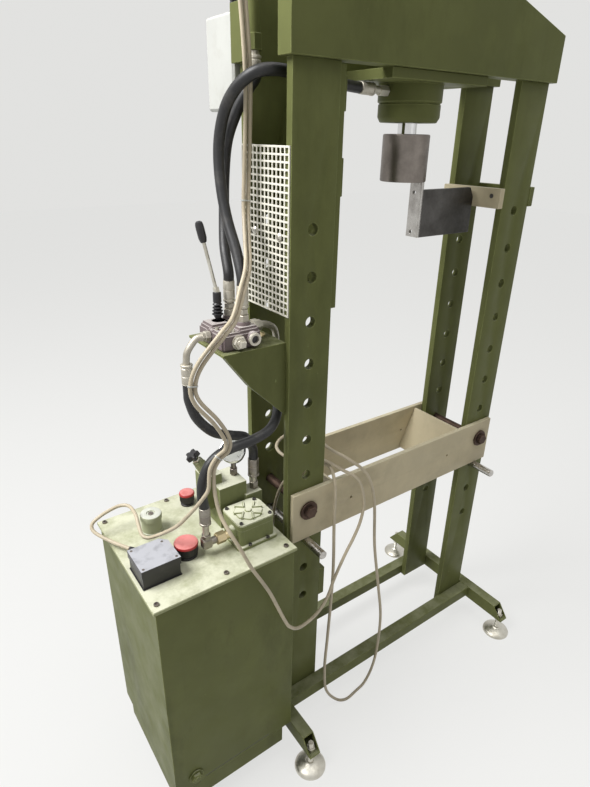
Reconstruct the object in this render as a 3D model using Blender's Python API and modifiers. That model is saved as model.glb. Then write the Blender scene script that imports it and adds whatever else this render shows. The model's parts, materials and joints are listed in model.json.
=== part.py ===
"""Hydraulic workshop press: a drilled frame of flat bars, a hanging cylinder and a power pack.

Metres, +Z up. Most pieces are placed from the press centre line. The pieces on the left
side are placed with side(), which counts from the outer front corner of the left upright.
"""
import math

import bmesh
import bpy
from mathutils import Vector

# Clearances
GAP = 0.0003
RUN = 0.0001

# Uprights: four flat bars, drilled in rows
CLEAR_WIDTH = 0.599
BAR_WIDTH = 0.12
BAR_THICK = 0.02
BAR_SPACE = 0.1564
BAR_BOTTOM = 0.081
HOLE_RADIUS = 0.0135
HOLE_PITCH = 0.105
HOLE_LOWEST = 0.4875
HOLE_ROWS = 11

# Crosshead: two deep beams on top of the bars
CROSS_BOTTOM = 1.86
CROSS_END_HEIGHT = 0.108
CROSS_RISE = 0.078
CROSS_SLOPE = 0.27
BEAM_DEPTH = 0.0447
BEAM_LIP = 0.0137
BEAM_OVERHANG = 0.0138

# Bed: two plates held by pins and tie bolts
PIN_ROW = 2
BOLT_ROW = 3
PIN_RADIUS = 0.0122
PIN_FRONT = 0.088
PIN_REAR = 0.03
BED_THICK = 0.0134
BED_HEIGHT = 0.153
BED_INSET = 0.0095
BOLT_RADIUS = 0.0125
WASHER_RADIUS = 0.025
WASHER_THICK = 0.006
NUT_RADIUS = 0.018
NUT_THICK = 0.013
END_PLATE_THICK = 0.008
END_PLATE_CLEAR = 0.0289
END_PLATE_SLANT = 0.061
END_PLATE_MARGIN = 0.008
PEG_HOLE_RADIUS = 0.0045
PEG_HOLE_INSET = 0.0945
PEG_HOLE_DROP = 0.079

# Base: rails between two open tubes that stand on levelling feet
RAIL_SIZE = 0.04
TUBE_WIDTH = 0.038
TUBE_HEIGHT = 0.05
TUBE_WALL = 0.003
TUBE_STANDOFF = 0.0078
TUBE_TOP_LENGTH = 0.516
TUBE_CUT = 0.039
STUD_RADIUS = 0.008
STUD_INSET = 0.024
STUD_HOLE_CLEARANCE = 0.0005
STUD_TOP = 0.105
DISC_RADIUS = 0.0465
DISC_HEIGHT = 0.022
FOOT_NUT_RADIUS = 0.0135
FOOT_NUT_THICK = 0.012

# Cylinder
BARREL_RADIUS = 0.065
BARREL_BORE = 0.052
BARREL_HEIGHT = 0.39
CAP_THICK = 0.025
GLAND_RADIUS = 0.078
GLAND_TIER = 0.04
GLAND_DEPTH = 0.0829
GLAND_STEP = 0.002
GLAND_PORT_DROP = 0.0172
MOUNT_PLATE_THICK = 0.0212
MOUNT_PLATE_LENGTH = 0.32
MOUNT_PLATE_INSET = 0.012
PISTON_LENGTH = 0.055
ROD_RADIUS = 0.0235
ROD_SHOWING = 0.0252
HEAD_RADIUS = 0.0585
HEAD_HEIGHT = 0.1105
STROKE = 0.28

# Guards and clamps on the uprights
MESH_COLUMNS = 6
MESH_ROWS = 12
MESH_HEIGHT = 0.357
MESH_BOTTOM = 1.347
MESH_THICK = 0.003
MESH_BAR = 0.004
MESH_MARGIN = 0.003
COVER_THICK = 0.016
COVER_BOTTOM = 1.35
ARM_Z = 1.5725
ARM_CLAMP_HEIGHT = 0.053
ARM_CLAMP_THICK = 0.018
ARM_REACH = 0.2169
ARM_Y = -0.01
ARM_THICK = 0.012
ARM_HEIGHT = 0.124
ARM_TOP_DROP = 0.002
ARM_END_THICK = 0.009
ARM_END_DEPTH = 0.042
ARM_END_RISE = 0.028

# Tank of the power pack, measured from the left upright
TANK_LENGTH = 0.3685
TANK_DEPTH = 0.37
TANK_STANDOFF = 0.047
TANK_FRONT = -0.1
TANK_BOTTOM = 0.125
LID_TOP = 0.785
LID_THICK = 0.008
LID_LIP = 0.006
SHEET = 0.003
SKIRT_BOTTOM = 0.067
SKIRT_FRONT_INSET = 0.001
SKIRT_LEFT_INSET = 0.004
SKIRT_RIGHT_INSET = 0.03
GROOVE_DEPTH = 0.002
GROOVE_HEIGHT = 0.003
GROOVE_RISE = 0.007
GROOVE_LEFT = 0.0845
GROOVE_RIGHT = 0.078
HANGER_HEIGHT = 0.1
HANGER_Z = 0.505

# Terminal box on the tank lid
TERMINAL_AT = (-0.411, -0.028)
TERMINAL_LENGTH = 0.091
TERMINAL_DEPTH = 0.085
TERMINAL_HEIGHT = 0.034
TERMINAL_LIP = 0.002

# Valve shelf
SHELF_TOP = 1.285
SHELF_REACH = 0.165
VALVE_HEIGHT = 0.047
BOSS_HEIGHT = 0.008
SHEET_THICK = 0.006
FLANGE_WIDTH = 0.024

# Hoses and cables
HOSE_RADIUS = 0.011
FERRULE_RADIUS = 0.0135
PIPE_RADIUS = 0.008
CABLE_RADIUS = 0.0045
MOTOR_LOOP_REACH = 0.4512

# Worked out from the sizes above
HALF_CLEAR = CLEAR_WIDTH / 2
END_PLATE_TOP = HALF_CLEAR - END_PLATE_CLEAR
END_PLATE_FOOT = END_PLATE_TOP - END_PLATE_SLANT
PEG_HOLE_X = HALF_CLEAR - PEG_HOLE_INSET
STUD_Y = TUBE_TOP_LENGTH / 2 + TUBE_CUT - STUD_INSET
BAR_X = HALF_CLEAR + BAR_WIDTH / 2
HALF_FRAME = HALF_CLEAR + BAR_WIDTH
BAR_INNER_Y = BAR_SPACE / 2
BAR_OUTER_Y = BAR_INNER_Y + BAR_THICK
BEAM_OUTER_Y = BAR_OUTER_Y + BEAM_LIP
BEAM_INNER_Y = BEAM_OUTER_Y - BEAM_DEPTH
CROSS_TOP = CROSS_BOTTOM + CROSS_END_HEIGHT + CROSS_RISE
HALF_BEAM = HALF_FRAME + BEAM_OVERHANG
HOLE_FLAT = HOLE_RADIUS * math.cos(math.pi / 12)
PIN_Z = HOLE_LOWEST + PIN_ROW * HOLE_PITCH - HOLE_FLAT + PIN_RADIUS + GAP
BOLT_Z = HOLE_LOWEST + BOLT_ROW * HOLE_PITCH
BED_BOTTOM = PIN_Z + PIN_RADIUS + GAP
BED_TOP = BED_BOTTOM + BED_HEIGHT
BED_INNER_Y = BAR_OUTER_Y + GAP
BED_OUTER_Y = BED_INNER_Y + BED_THICK
HALF_BED = HALF_FRAME - BED_INSET
RAIL_BOTTOM = BAR_BOTTOM
RAIL_TOP = RAIL_BOTTOM + RAIL_SIZE
TUBE_X = HALF_FRAME + TUBE_STANDOFF + TUBE_WIDTH / 2
TUBE_BOTTOM = RAIL_TOP - TUBE_HEIGHT
MOUNT_TOP = CROSS_BOTTOM - GAP
MOUNT_BOTTOM = MOUNT_TOP - MOUNT_PLATE_THICK
BARREL_BOTTOM = MOUNT_BOTTOM
BARREL_TOP = CROSS_BOTTOM + BARREL_HEIGHT
GLAND_TOP = MOUNT_BOTTOM - GAP
GLAND_BOTTOM = GLAND_TOP - GLAND_DEPTH
HEAD_TOP = GLAND_BOTTOM - ROD_SHOWING
HEAD_BOTTOM = HEAD_TOP - HEAD_HEIGHT
PISTON_TOP = BARREL_TOP - CAP_THICK - 0.005
LID_BOTTOM = LID_TOP - LID_THICK
VALVE_TOP = SHELF_TOP + GAP + VALVE_HEIGHT
TANK_TOP = LID_BOTTOM - GAP
TANK_LEFT = -TANK_STANDOFF - TANK_LENGTH

# The origin is on the floor under the middle of the box round everything but the free cord
BOX_LEFT = -HALF_FRAME - MOTOR_LOOP_REACH
BOX_RIGHT = TUBE_X + DISC_RADIUS
SHIFT = Vector((-(BOX_LEFT + BOX_RIGHT) / 2, 0.0, 0.0))

# Finishes: colour, roughness, metallic
GREEN = ((0.15, 0.19, 0.085), 0.45, 0.0)
LEAF_GREEN = ((0.2, 0.25, 0.11), 0.5, 0.0)
CREAM = ((0.6, 0.55, 0.42), 0.5, 0.0)
STEEL = ((0.42, 0.4, 0.38), 0.4, 1.0)
TURNED = ((0.28, 0.25, 0.23), 0.42, 0.9)
CHROME = ((0.75, 0.75, 0.75), 0.12, 1.0)
ZINC = ((0.6, 0.6, 0.58), 0.3, 0.9)
DARK_STEEL = ((0.12, 0.12, 0.125), 0.5, 0.7)
CAST = ((0.2, 0.17, 0.16), 0.6, 0.5)
BLACK = ((0.02, 0.02, 0.022), 0.4, 0.0)
RUBBER = ((0.018, 0.018, 0.02), 0.6, 0.0)
RED = ((0.5, 0.03, 0.03), 0.4, 0.0)
WHITE = ((0.75, 0.75, 0.72), 0.45, 0.0)
BEIGE_PVC = ((0.62, 0.52, 0.38), 0.5, 0.0)


def side(x, y, z):
    """A place counted from the outer front corner of the left upright."""
    return Vector((x - HALF_FRAME, y - BAR_OUTER_Y, z))


def clear_scene():
    for old in list(bpy.data.objects):
        bpy.data.objects.remove(old)


def new_collection(name):
    made = bpy.data.collections.new(name)
    bpy.context.scene.collection.children.link(made)
    return made


def new_material(name, finish):
    colour, roughness, metallic = finish
    made = bpy.data.materials.new(name)
    made.use_nodes = True
    shader = made.node_tree.nodes["Principled BSDF"]
    shader.inputs["Base Color"].default_value = (*colour, 1.0)
    shader.inputs["Roughness"].default_value = roughness
    shader.inputs["Metallic"].default_value = metallic
    return made


clear_scene()
parts = new_collection("parts")
cutters = new_collection("cutters")


def finish_object(name, mesh, finish, origin):
    """Places a mesh drawn about its own origin. With no finish it is a helper."""
    obj = bpy.data.objects.new(name, mesh)
    obj.location = Vector(origin) + SHIFT
    if finish is None:
        obj.hide_render = True
        obj.display_type = "WIRE"
        cutters.objects.link(obj)
        return obj
    parts.objects.link(obj)
    mesh.materials.append(new_material(name, finish))
    return obj


def from_bmesh(name, shape, finish, origin):
    bmesh.ops.recalc_face_normals(shape, faces=shape.faces)
    mesh = bpy.data.meshes.new(name)
    shape.to_mesh(mesh)
    shape.free()
    return finish_object(name, mesh, finish, origin)


def box(name, low, high, finish=None):
    """A block between two corners, with its origin at its middle."""
    low = Vector(low)
    high = Vector(high)
    shape = bmesh.new()
    bmesh.ops.create_cube(shape, size=1.0)
    bmesh.ops.scale(shape, verts=shape.verts, vec=high - low)
    return from_bmesh(name, shape, finish, (low + high) / 2)


def prism(name, outline, axis, start, end, finish=None, origin=(0.0, 0.0, 0.0)):
    """An outline of two coordinates, pushed along the third axis from start to end."""
    place = Vector(origin)
    shape = bmesh.new()
    corners = []
    for first, second in outline:
        at = {
            "X": (start, first, second),
            "Y": (first, start, second),
            "Z": (first, second, start),
        }[axis]
        corners.append(shape.verts.new(Vector(at) - place))
    face = shape.faces.new(corners)
    pushed = bmesh.ops.extrude_face_region(shape, geom=[face])
    moved = [item for item in pushed["geom"] if isinstance(item, bmesh.types.BMVert)]
    push = Vector([end - start if letter == axis else 0.0 for letter in "XYZ"])
    bmesh.ops.translate(shape, verts=moved, vec=push)
    return from_bmesh(name, shape, finish, place)


TURN_TO = {
    "Z": (0.0, 0.0, 0.0),
    "Y": (math.radians(-90), 0.0, 0.0),
    "X": (0.0, math.radians(90), 0.0),
}


def turned(name, profile, at, finish=None, axis="Z", steps=32, ring=False):
    """A profile of (radius, height), listed from the top down, turned about an axis.

    A ring's profile is a closed loop: down the outside and back up the inside.
    """
    mesh = bpy.data.meshes.new(name)
    points = [(radius, 0.0, height) for radius, height in profile]
    edges = [(i, i + 1) for i in range(len(points) - 1)]
    if ring:
        edges.append((len(points) - 1, 0))
    mesh.from_pydata(points, edges, [])
    obj = finish_object(name, mesh, finish, at)
    obj.rotation_euler = TURN_TO[axis] if isinstance(axis, str) else axis
    screw = obj.modifiers.new("turn", "SCREW")
    screw.steps = steps
    screw.render_steps = steps
    screw.use_merge_vertices = True
    screw.merge_threshold = 0.00001
    screw.use_smooth_shade = True
    return obj


def rod_profile(radius, low, high, chamfer=0.0):
    """A plain rod from low to high, with its edges broken by chamfer."""
    if chamfer == 0.0:
        return [(0.0, high), (radius, high), (radius, low), (0.0, low)]
    return [
        (0.0, high),
        (radius - chamfer, high),
        (radius, high - chamfer),
        (radius, low + chamfer),
        (radius - chamfer, low),
        (0.0, low),
    ]


def drills(name, places, radius, low, high, axis="Z", steps=12):
    """One helper that holds a round cutter at each place, running low to high."""
    shape = bmesh.new()
    depth = high - low
    for place in places:
        made = bmesh.ops.create_cone(
            shape,
            cap_ends=True,
            segments=steps,
            radius1=radius,
            radius2=radius,
            depth=depth,
        )
        verts = made["verts"]
        bmesh.ops.translate(shape, verts=verts, vec=(0.0, 0.0, (low + high) / 2))
        for vert in verts:
            x, y, z = vert.co
            turned_to = {"X": (z, x, y), "Y": (x, z, -y), "Z": (x, y, z)}[axis]
            vert.co = Vector(turned_to) + Vector(place)
    return from_bmesh(name, shape, None, (0.0, 0.0, 0.0))


def cut(obj, cutter):
    made = obj.modifiers.new("cut", "BOOLEAN")
    made.operation = "DIFFERENCE"
    made.solver = "EXACT"
    made.object = cutter
    return obj


def join(obj, *others):
    for other in others:
        made = obj.modifiers.new("join", "BOOLEAN")
        made.operation = "UNION"
        made.solver = "EXACT"
        made.object = other
    return obj


def bevel(obj, width, segments=1):
    made = obj.modifiers.new("bevel", "BEVEL")
    made.width = width
    made.segments = segments
    made.limit_method = "ANGLE"
    made.angle_limit = math.radians(40)
    return obj


def smooth_path(points, pieces=2):
    """Rounds a hand-made route: a Catmull-Rom curve through all of its points."""
    places = [Vector(point) for point in points]
    padded = [places[0] * 2 - places[1], *places, places[-1] * 2 - places[-2]]
    route = []
    for i in range(1, len(padded) - 2):
        before, here, there, after = padded[i - 1 : i + 3]
        for step in range(pieces):
            t = step / pieces
            route.append(
                0.5
                * (
                    here * 2
                    + (there - before) * t
                    + (before * 2 - here * 5 + there * 4 - after) * t * t
                    + (here * 3 - before - there * 3 + after) * t * t * t
                )
            )
    route.append(places[-1])
    return route


def tube(name, stretches, finish=None, sides=2):
    """A round tube through several stretches, each a list of places with one radius."""
    curve = bpy.data.curves.new(name, "CURVE")
    curve.dimensions = "3D"
    curve.bevel_depth = 1.0
    curve.bevel_resolution = sides
    curve.use_fill_caps = True
    spline = curve.splines.new("POLY")
    run = []
    for places, radius in stretches:
        run += [(Vector(place), radius) for place in places]
    spline.points.add(len(run) - 1)
    for point, (place, radius) in zip(spline.points, run):
        point.co = (*place, 1.0)
        point.radius = radius
    made = bpy.data.objects.new(name + "_curve", curve)
    cutters.objects.link(made)
    mesh = bpy.data.meshes.new_from_object(made)
    mesh.name = name
    bpy.data.objects.remove(made)
    shape = bmesh.new()
    shape.from_mesh(mesh)
    bmesh.ops.remove_doubles(shape, verts=shape.verts, dist=0.00002)
    bmesh.ops.recalc_face_normals(shape, faces=shape.faces)
    shape.to_mesh(mesh)
    shape.free()
    for face in mesh.polygons:
        face.use_smooth = True
    return finish_object(name, mesh, finish, (0.0, 0.0, 0.0))


def between(start, end, share):
    return Vector(start).lerp(Vector(end), share)


# Frame


def upright(name, x_sign, y_sign):
    x = x_sign * BAR_X
    y = y_sign * (BAR_INNER_Y + BAR_OUTER_Y) / 2
    bar = box(
        name,
        (x - BAR_WIDTH / 2, y - BAR_THICK / 2, BAR_BOTTOM),
        (x + BAR_WIDTH / 2, y + BAR_THICK / 2, CROSS_BOTTOM - GAP),
        GREEN,
    )
    rows = [(x, y, HOLE_LOWEST + i * HOLE_PITCH) for i in range(HOLE_ROWS)]
    reach = BAR_THICK
    return cut(bar, drills(name + "_holes", rows, HOLE_RADIUS, -reach, reach, "Y"))


def crosshead(name, y_sign):
    low = CROSS_BOTTOM
    shoulder = CROSS_BOTTOM + CROSS_END_HEIGHT
    outline = [
        (-HALF_BEAM, low),
        (HALF_BEAM, low),
        (HALF_BEAM, shoulder),
        (HALF_BEAM - CROSS_SLOPE, CROSS_TOP),
        (CROSS_SLOPE - HALF_BEAM, CROSS_TOP),
        (-HALF_BEAM, shoulder),
    ]
    ends = sorted((y_sign * BEAM_INNER_Y, y_sign * BEAM_OUTER_Y))
    return prism(name, outline, "Y", *ends, GREEN)


def mount_plate():
    """The plate under the two beams that the cylinder stands in."""
    half = MOUNT_PLATE_LENGTH / 2
    reach = BEAM_OUTER_Y - MOUNT_PLATE_INSET
    low = (-half, -reach, MOUNT_BOTTOM)
    plate = box("cylinder_mount_plate", low, (half, reach, MOUNT_TOP), GREEN)
    hole = drills(
        "mount_plate_bore",
        [(0.0, 0.0, 0.0)],
        BARREL_RADIUS + GAP,
        MOUNT_BOTTOM - 0.01,
        MOUNT_TOP + 0.01,
        steps=48,
    )
    return cut(plate, hole)


def base_rail(name, y_sign):
    near = BAR_OUTER_Y + GAP
    ends = sorted((y_sign * near, y_sign * (near + RAIL_SIZE)))
    half = TUBE_X - TUBE_WIDTH / 2 - GAP
    return box(name, (-half, ends[0], RAIL_BOTTOM), (half, ends[1], RAIL_TOP), GREEN)


def base_tube(name, x_sign):
    x = x_sign * TUBE_X
    half = TUBE_TOP_LENGTH / 2
    outline = [
        (-half, RAIL_TOP),
        (half, RAIL_TOP),
        (half + TUBE_CUT, TUBE_BOTTOM),
        (-half - TUBE_CUT, TUBE_BOTTOM),
    ]
    shape = prism(name, outline, "X", x - TUBE_WIDTH / 2, x + TUBE_WIDTH / 2, GREEN)
    inside = box(
        name + "_inside",
        (x - TUBE_WIDTH / 2 + TUBE_WALL, -1.0, TUBE_BOTTOM + TUBE_WALL),
        (x + TUBE_WIDTH / 2 - TUBE_WALL, 1.0, RAIL_TOP - TUBE_WALL),
    )
    places = [(x, -STUD_Y, TUBE_BOTTOM), (x, STUD_Y, TUBE_BOTTOM)]
    radius = STUD_RADIUS + STUD_HOLE_CLEARANCE
    holes = drills(name + "_stud_holes", places, radius, -0.02, 0.015)
    cut(shape, inside)
    return cut(shape, holes)


def levelling_foot(name, x_sign, y_sign):
    under = TUBE_BOTTOM - GAP
    over = TUBE_BOTTOM + TUBE_WALL + GAP
    profile = [
        (0.0, STUD_TOP),
        (STUD_RADIUS, STUD_TOP),
        (STUD_RADIUS, over + FOOT_NUT_THICK),
        (FOOT_NUT_RADIUS, over + FOOT_NUT_THICK),
        (FOOT_NUT_RADIUS, over),
        (STUD_RADIUS, over),
        (STUD_RADIUS, under),
        (FOOT_NUT_RADIUS, under),
        (FOOT_NUT_RADIUS, under - FOOT_NUT_THICK),
        (STUD_RADIUS, under - FOOT_NUT_THICK),
        (STUD_RADIUS, DISC_HEIGHT + 0.004),
        (STUD_RADIUS + 0.006, DISC_HEIGHT),
        (DISC_RADIUS * 0.72, DISC_HEIGHT - 0.006),
        (DISC_RADIUS, 0.005),
        (DISC_RADIUS, 0.0),
        (0.0, 0.0),
    ]
    return turned(name, profile, (x_sign * TUBE_X, y_sign * STUD_Y, 0.0), ZINC, steps=12)


# Bed


def bed_plate(name, y_sign):
    ends = sorted((y_sign * BED_INNER_Y, y_sign * BED_OUTER_Y))
    plate = box(name, (-HALF_BED, ends[0], BED_BOTTOM), (HALF_BED, ends[1], BED_TOP), CREAM)
    y = sum(ends) / 2
    bolts = [(-BAR_X, y, BOLT_Z), (BAR_X, y, BOLT_Z)]
    pegs = [
        (-PEG_HOLE_X, y, BED_TOP - PEG_HOLE_DROP),
        (PEG_HOLE_X, y, BED_TOP - PEG_HOLE_DROP),
    ]
    reach = BED_THICK
    cut(plate, drills(name + "_bolt_holes", bolts, HOLE_RADIUS, -reach, reach, "Y"))
    return cut(plate, drills(name + "_pegs", pegs, PEG_HOLE_RADIUS, -reach, reach, "Y", 8))


def bed_end_plate(name, x_sign):
    top = BED_TOP - END_PLATE_MARGIN
    low = BED_BOTTOM + END_PLATE_MARGIN
    outline = [
        (x_sign * END_PLATE_TOP, top),
        (x_sign * END_PLATE_FOOT, low),
        (x_sign * (END_PLATE_FOOT - END_PLATE_THICK), low),
        (x_sign * (END_PLATE_TOP - END_PLATE_THICK), top),
    ]
    half = BED_INNER_Y - GAP
    return prism(name, outline, "Y", -half, half, CREAM)


def bed_bolt(name, x_sign):
    face = BED_OUTER_Y + GAP
    washer = face + WASHER_THICK
    nut = washer + NUT_THICK
    tip = nut + 0.006
    profile = [
        (0.0, tip),
        (BOLT_RADIUS - 0.0015, tip),
        (BOLT_RADIUS - 0.0005, nut),
        (NUT_RADIUS, nut),
        (NUT_RADIUS, washer),
        (WASHER_RADIUS, washer),
        (WASHER_RADIUS, face),
        (BOLT_RADIUS, face),
        (BOLT_RADIUS, -face),
        (WASHER_RADIUS, -face),
        (WASHER_RADIUS, -washer),
        (NUT_RADIUS, -washer),
        (NUT_RADIUS, -nut + 0.002),
        (NUT_RADIUS - 0.003, -nut),
        (0.0, -nut),
    ]
    at = (x_sign * BAR_X, 0.0, BOLT_Z)
    return turned(name, profile, at, STEEL, "Y", 14)


def bed_pin(name, x_sign):
    profile = rod_profile(
        PIN_RADIUS, -BAR_OUTER_Y - PIN_FRONT, BAR_OUTER_Y + PIN_REAR, 0.002
    )
    return turned(name, profile, (x_sign * BAR_X, 0.0, PIN_Z), CHROME, "Y", 18)


# Cylinder and ram


def barrel():
    inner_top = BARREL_TOP - CAP_THICK
    profile = [
        (0.0, BARREL_TOP),
        (BARREL_RADIUS - 0.003, BARREL_TOP),
        (BARREL_RADIUS, BARREL_TOP - 0.003),
        (BARREL_RADIUS, BARREL_BOTTOM),
        (BARREL_BORE, BARREL_BOTTOM),
        (BARREL_BORE, inner_top),
        (0.0, inner_top),
    ]
    return turned("cylinder_barrel", profile, (0.0, 0.0, 0.0), GREEN, steps=24)


def gland():
    bore = ROD_RADIUS + RUN
    tier = GLAND_TOP - GLAND_TIER
    small = GLAND_RADIUS - GLAND_STEP
    profile = [
        (GLAND_RADIUS, GLAND_TOP),
        (GLAND_RADIUS, tier),
        (small, tier),
        (small, GLAND_BOTTOM + 0.012),
        (small - 0.006, GLAND_BOTTOM),
        (bore, GLAND_BOTTOM),
        (bore, GLAND_TOP),
    ]
    return turned("cylinder_gland", profile, (0.0, 0.0, 0.0), GREEN, steps=24, ring=True)


def ram_rod():
    """The piston and its chromed rod, with a short spigot into the head."""
    piston = BARREL_BORE - RUN
    low = PISTON_TOP - PISTON_LENGTH
    profile = [
        (0.0, PISTON_TOP),
        (piston - 0.002, PISTON_TOP),
        (piston, PISTON_TOP - 0.002),
        (piston, low),
        (ROD_RADIUS, low),
        (ROD_RADIUS, HEAD_TOP + GAP),
        (0.0, HEAD_TOP + GAP),
    ]
    return turned("piston_rod", profile, (0.0, 0.0, 0.0), CHROME, steps=24)


def ram_head():
    profile = rod_profile(HEAD_RADIUS, HEAD_BOTTOM, HEAD_TOP, 0.003)
    return turned("ram_head", profile, (0.0, 0.0, 0.0), TURNED, steps=24)


# Guards and clamps


def mesh_guard():
    """A moulded grille over the side of the left upright: a sheet of open cells."""
    width = 2 * BAR_OUTER_Y - 2 * MESH_MARGIN
    front = -width / 2
    column = (width - MESH_BAR) / MESH_COLUMNS
    row = (MESH_HEIGHT - MESH_BAR) / MESH_ROWS
    across = []
    for i in range(MESH_COLUMNS + 1):
        across += [front + i * column, front + i * column + MESH_BAR]
    upward = []
    for i in range(MESH_ROWS + 1):
        upward += [MESH_BOTTOM + i * row, MESH_BOTTOM + i * row + MESH_BAR]
    x = -HALF_FRAME - GAP
    shape = bmesh.new()
    grid = [[shape.verts.new((x, y, z)) for z in upward] for y in across]
    for i in range(len(across) - 1):
        for j in range(len(upward) - 1):
            if i % 2 and j % 2:
                continue
            shape.faces.new(
                (grid[i][j], grid[i][j + 1], grid[i + 1][j + 1], grid[i + 1][j])
            )
    mesh = bpy.data.meshes.new("mesh_guard")
    shape.to_mesh(mesh)
    shape.free()
    obj = finish_object("mesh_guard", mesh, CREAM, (0.0, 0.0, 0.0))
    thick = obj.modifiers.new("thickness", "SOLIDIFY")
    thick.thickness = MESH_THICK
    thick.offset = 1.0
    return obj


def side_cover():
    """A plate on the inner side of the left upright, with two thicker pads."""
    near = -HALF_CLEAR + GAP
    half = BAR_OUTER_Y - 0.004
    far = near + COVER_THICK
    plate = box(
        "inner_side_plate",
        (near, -half, COVER_BOTTOM),
        (far, half, CROSS_BOTTOM - 0.004),
        GREEN,
    )
    for i, (low, high) in enumerate(((1.77, 1.836), (1.6, 1.68))):
        pad = box(
            f"inner_side_pad_{i}",
            (near + COVER_THICK / 2, -half + 0.01, low),
            (far + 0.012, half - 0.01, high),
        )
        join(plate, pad)
    place = Vector((near, side(0.0, 0.076, 0.0).y, 1.834))
    return cut(plate, turned("hose_passage", rod_profile(0.019, -0.01, 0.05), place, None, "X", 16))


def arm_clamp_inner():
    plate = box(
        "arm_clamp_inner",
        (HALF_CLEAR - GAP - ARM_CLAMP_THICK, -BAR_OUTER_Y - 0.002, ARM_Z - ARM_CLAMP_HEIGHT / 2),
        (HALF_CLEAR - GAP, BAR_OUTER_Y + 0.002, ARM_Z + ARM_CLAMP_HEIGHT / 2),
        CREAM,
    )
    return plate


def arm_clamp_outer():
    return box(
        "arm_clamp_outer",
        (HALF_FRAME + GAP, -BAR_OUTER_Y - 0.002, ARM_Z - ARM_CLAMP_HEIGHT / 2),
        (
            HALF_FRAME + GAP + ARM_CLAMP_THICK,
            BAR_OUTER_Y + 0.002,
            ARM_Z + ARM_CLAMP_HEIGHT / 2,
        ),
        GREEN,
    )


def arm_plate():
    """The dark plate that the clamp carries into the press, with an upright strip on its end."""
    right = HALF_CLEAR - 2 * GAP - ARM_CLAMP_THICK
    left = right - ARM_REACH
    top = ARM_Z + ARM_CLAMP_HEIGHT / 2 - ARM_TOP_DROP
    low = top - ARM_HEIGHT
    outline = [
        (left, low),
        (right, low),
        (right, top - 0.026),
        (right - 0.014, top),
        (left, top),
    ]
    plate = prism("arm_plate", outline, "Y", ARM_Y, ARM_Y + ARM_THICK, DARK_STEEL)
    end_high = (left + ARM_END_THICK, ARM_Y + ARM_END_DEPTH, top + ARM_END_RISE)
    strip = box("arm_end", (left, ARM_Y, low), end_high)
    y = ARM_Y + 0.6 * ARM_END_DEPTH
    places = [(left, y, top - 0.008), (left, y, low + 0.014)]
    join(plate, strip)
    return cut(plate, drills("arm_plate_holes", places, 0.005, -0.02, 0.02, "X", 12))


# Power pack


def tank_body():
    low = side(TANK_LEFT, TANK_FRONT, TANK_BOTTOM)
    high = side(-TANK_STANDOFF, TANK_FRONT + TANK_DEPTH, TANK_TOP)
    body = box("tank_body", low, high, GREEN)
    wall = Vector((SHEET, SHEET, SHEET))
    top = Vector((high.x - SHEET, high.y - SHEET, high.z + 0.1))
    inside = box("tank_inside", low + wall, top)
    skirt_low = Vector((low.x + SKIRT_LEFT_INSET, low.y + SKIRT_FRONT_INSET, SKIRT_BOTTOM))
    inset = SKIRT_RIGHT_INSET
    skirt_high = Vector((high.x - inset, high.y - inset, low.z + 0.001))
    skirt = box("tank_skirt", skirt_low, skirt_high)
    skirt_inside = box(
        "tank_skirt_inside",
        skirt_low + Vector((SHEET, SHEET, -0.02)),
        skirt_high - Vector((SHEET, SHEET, 0.001)),
    )
    groove_z = low.z + GROOVE_RISE
    groove = box(
        "tank_groove",
        (low.x + GROOVE_LEFT, low.y - 0.01, groove_z),
        (high.x - GROOVE_RIGHT, low.y + GROOVE_DEPTH, groove_z + GROOVE_HEIGHT),
    )
    join(body, skirt)
    cut(body, inside)
    cut(body, groove)
    return cut(body, skirt_inside)


def tank_lid():
    low = side(TANK_LEFT, TANK_FRONT, LID_BOTTOM)
    high = side(-TANK_STANDOFF, TANK_FRONT + TANK_DEPTH, LID_TOP)
    lip = Vector((LID_LIP, LID_LIP, 0.0))
    return box("tank_lid", low - lip, high + lip, LEAF_GREEN)


def tank_motor():
    """The motor and pump that hang from the lid inside the tank."""
    top = LID_BOTTOM - GAP
    profile = [
        (0.0, top),
        (0.075, top),
        (0.075, top - 0.012),
        (0.062, top - 0.012),
        (0.062, 0.5),
        (0.058, 0.49),
        (0.034, 0.49),
        (0.034, 0.4),
        (0.03, 0.396),
        (0.0, 0.396),
    ]
    return turned("tank_motor_pump", profile, side(-0.128, -0.006, 0.0), DARK_STEEL, steps=12)


def tank_hanger():
    """The box bracket between the tank and the left upright."""
    half = HANGER_HEIGHT / 2
    low = side(-TANK_STANDOFF + GAP, 0.0, HANGER_Z - half)
    high = side(-GAP, 2 * BAR_OUTER_Y, HANGER_Z + half)
    return box("tank_hanger", low, high, GREEN)


def tank_clamp_plate():
    half = HANGER_HEIGHT / 2
    near = -HALF_CLEAR + GAP
    return box(
        "tank_clamp_plate",
        (near, -BAR_OUTER_Y, HANGER_Z - half),
        (near + 0.018, BAR_OUTER_Y, HANGER_Z + half),
        GREEN,
    )


def drain_plug():
    """The plug low on the tank's front face."""
    at = side(TANK_LEFT + 0.058, TANK_FRONT - GAP, TANK_BOTTOM + 0.038)
    profile = [(0.0, 0.0), (0.013, 0.0), (0.013, -0.004), (0.009, -0.004)]
    profile += [(0.009, -0.012), (0.0, -0.012)]
    return turned("drain_plug", profile, at, STEEL, "Y", 8)


def terminal_box():
    base = LID_TOP + GAP
    low = side(*TERMINAL_AT, base)
    high = low + Vector((TERMINAL_LENGTH, TERMINAL_DEPTH, TERMINAL_HEIGHT))
    body = box("terminal_box", low, high, BLACK)
    at = (low.x + 0.027, high.y - 0.001, base + 0.02)
    nipple = turned("terminal_gland", rod_profile(0.009, 0.0, 0.016), at, None, "Y", 16)
    return join(body, nipple)


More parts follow.
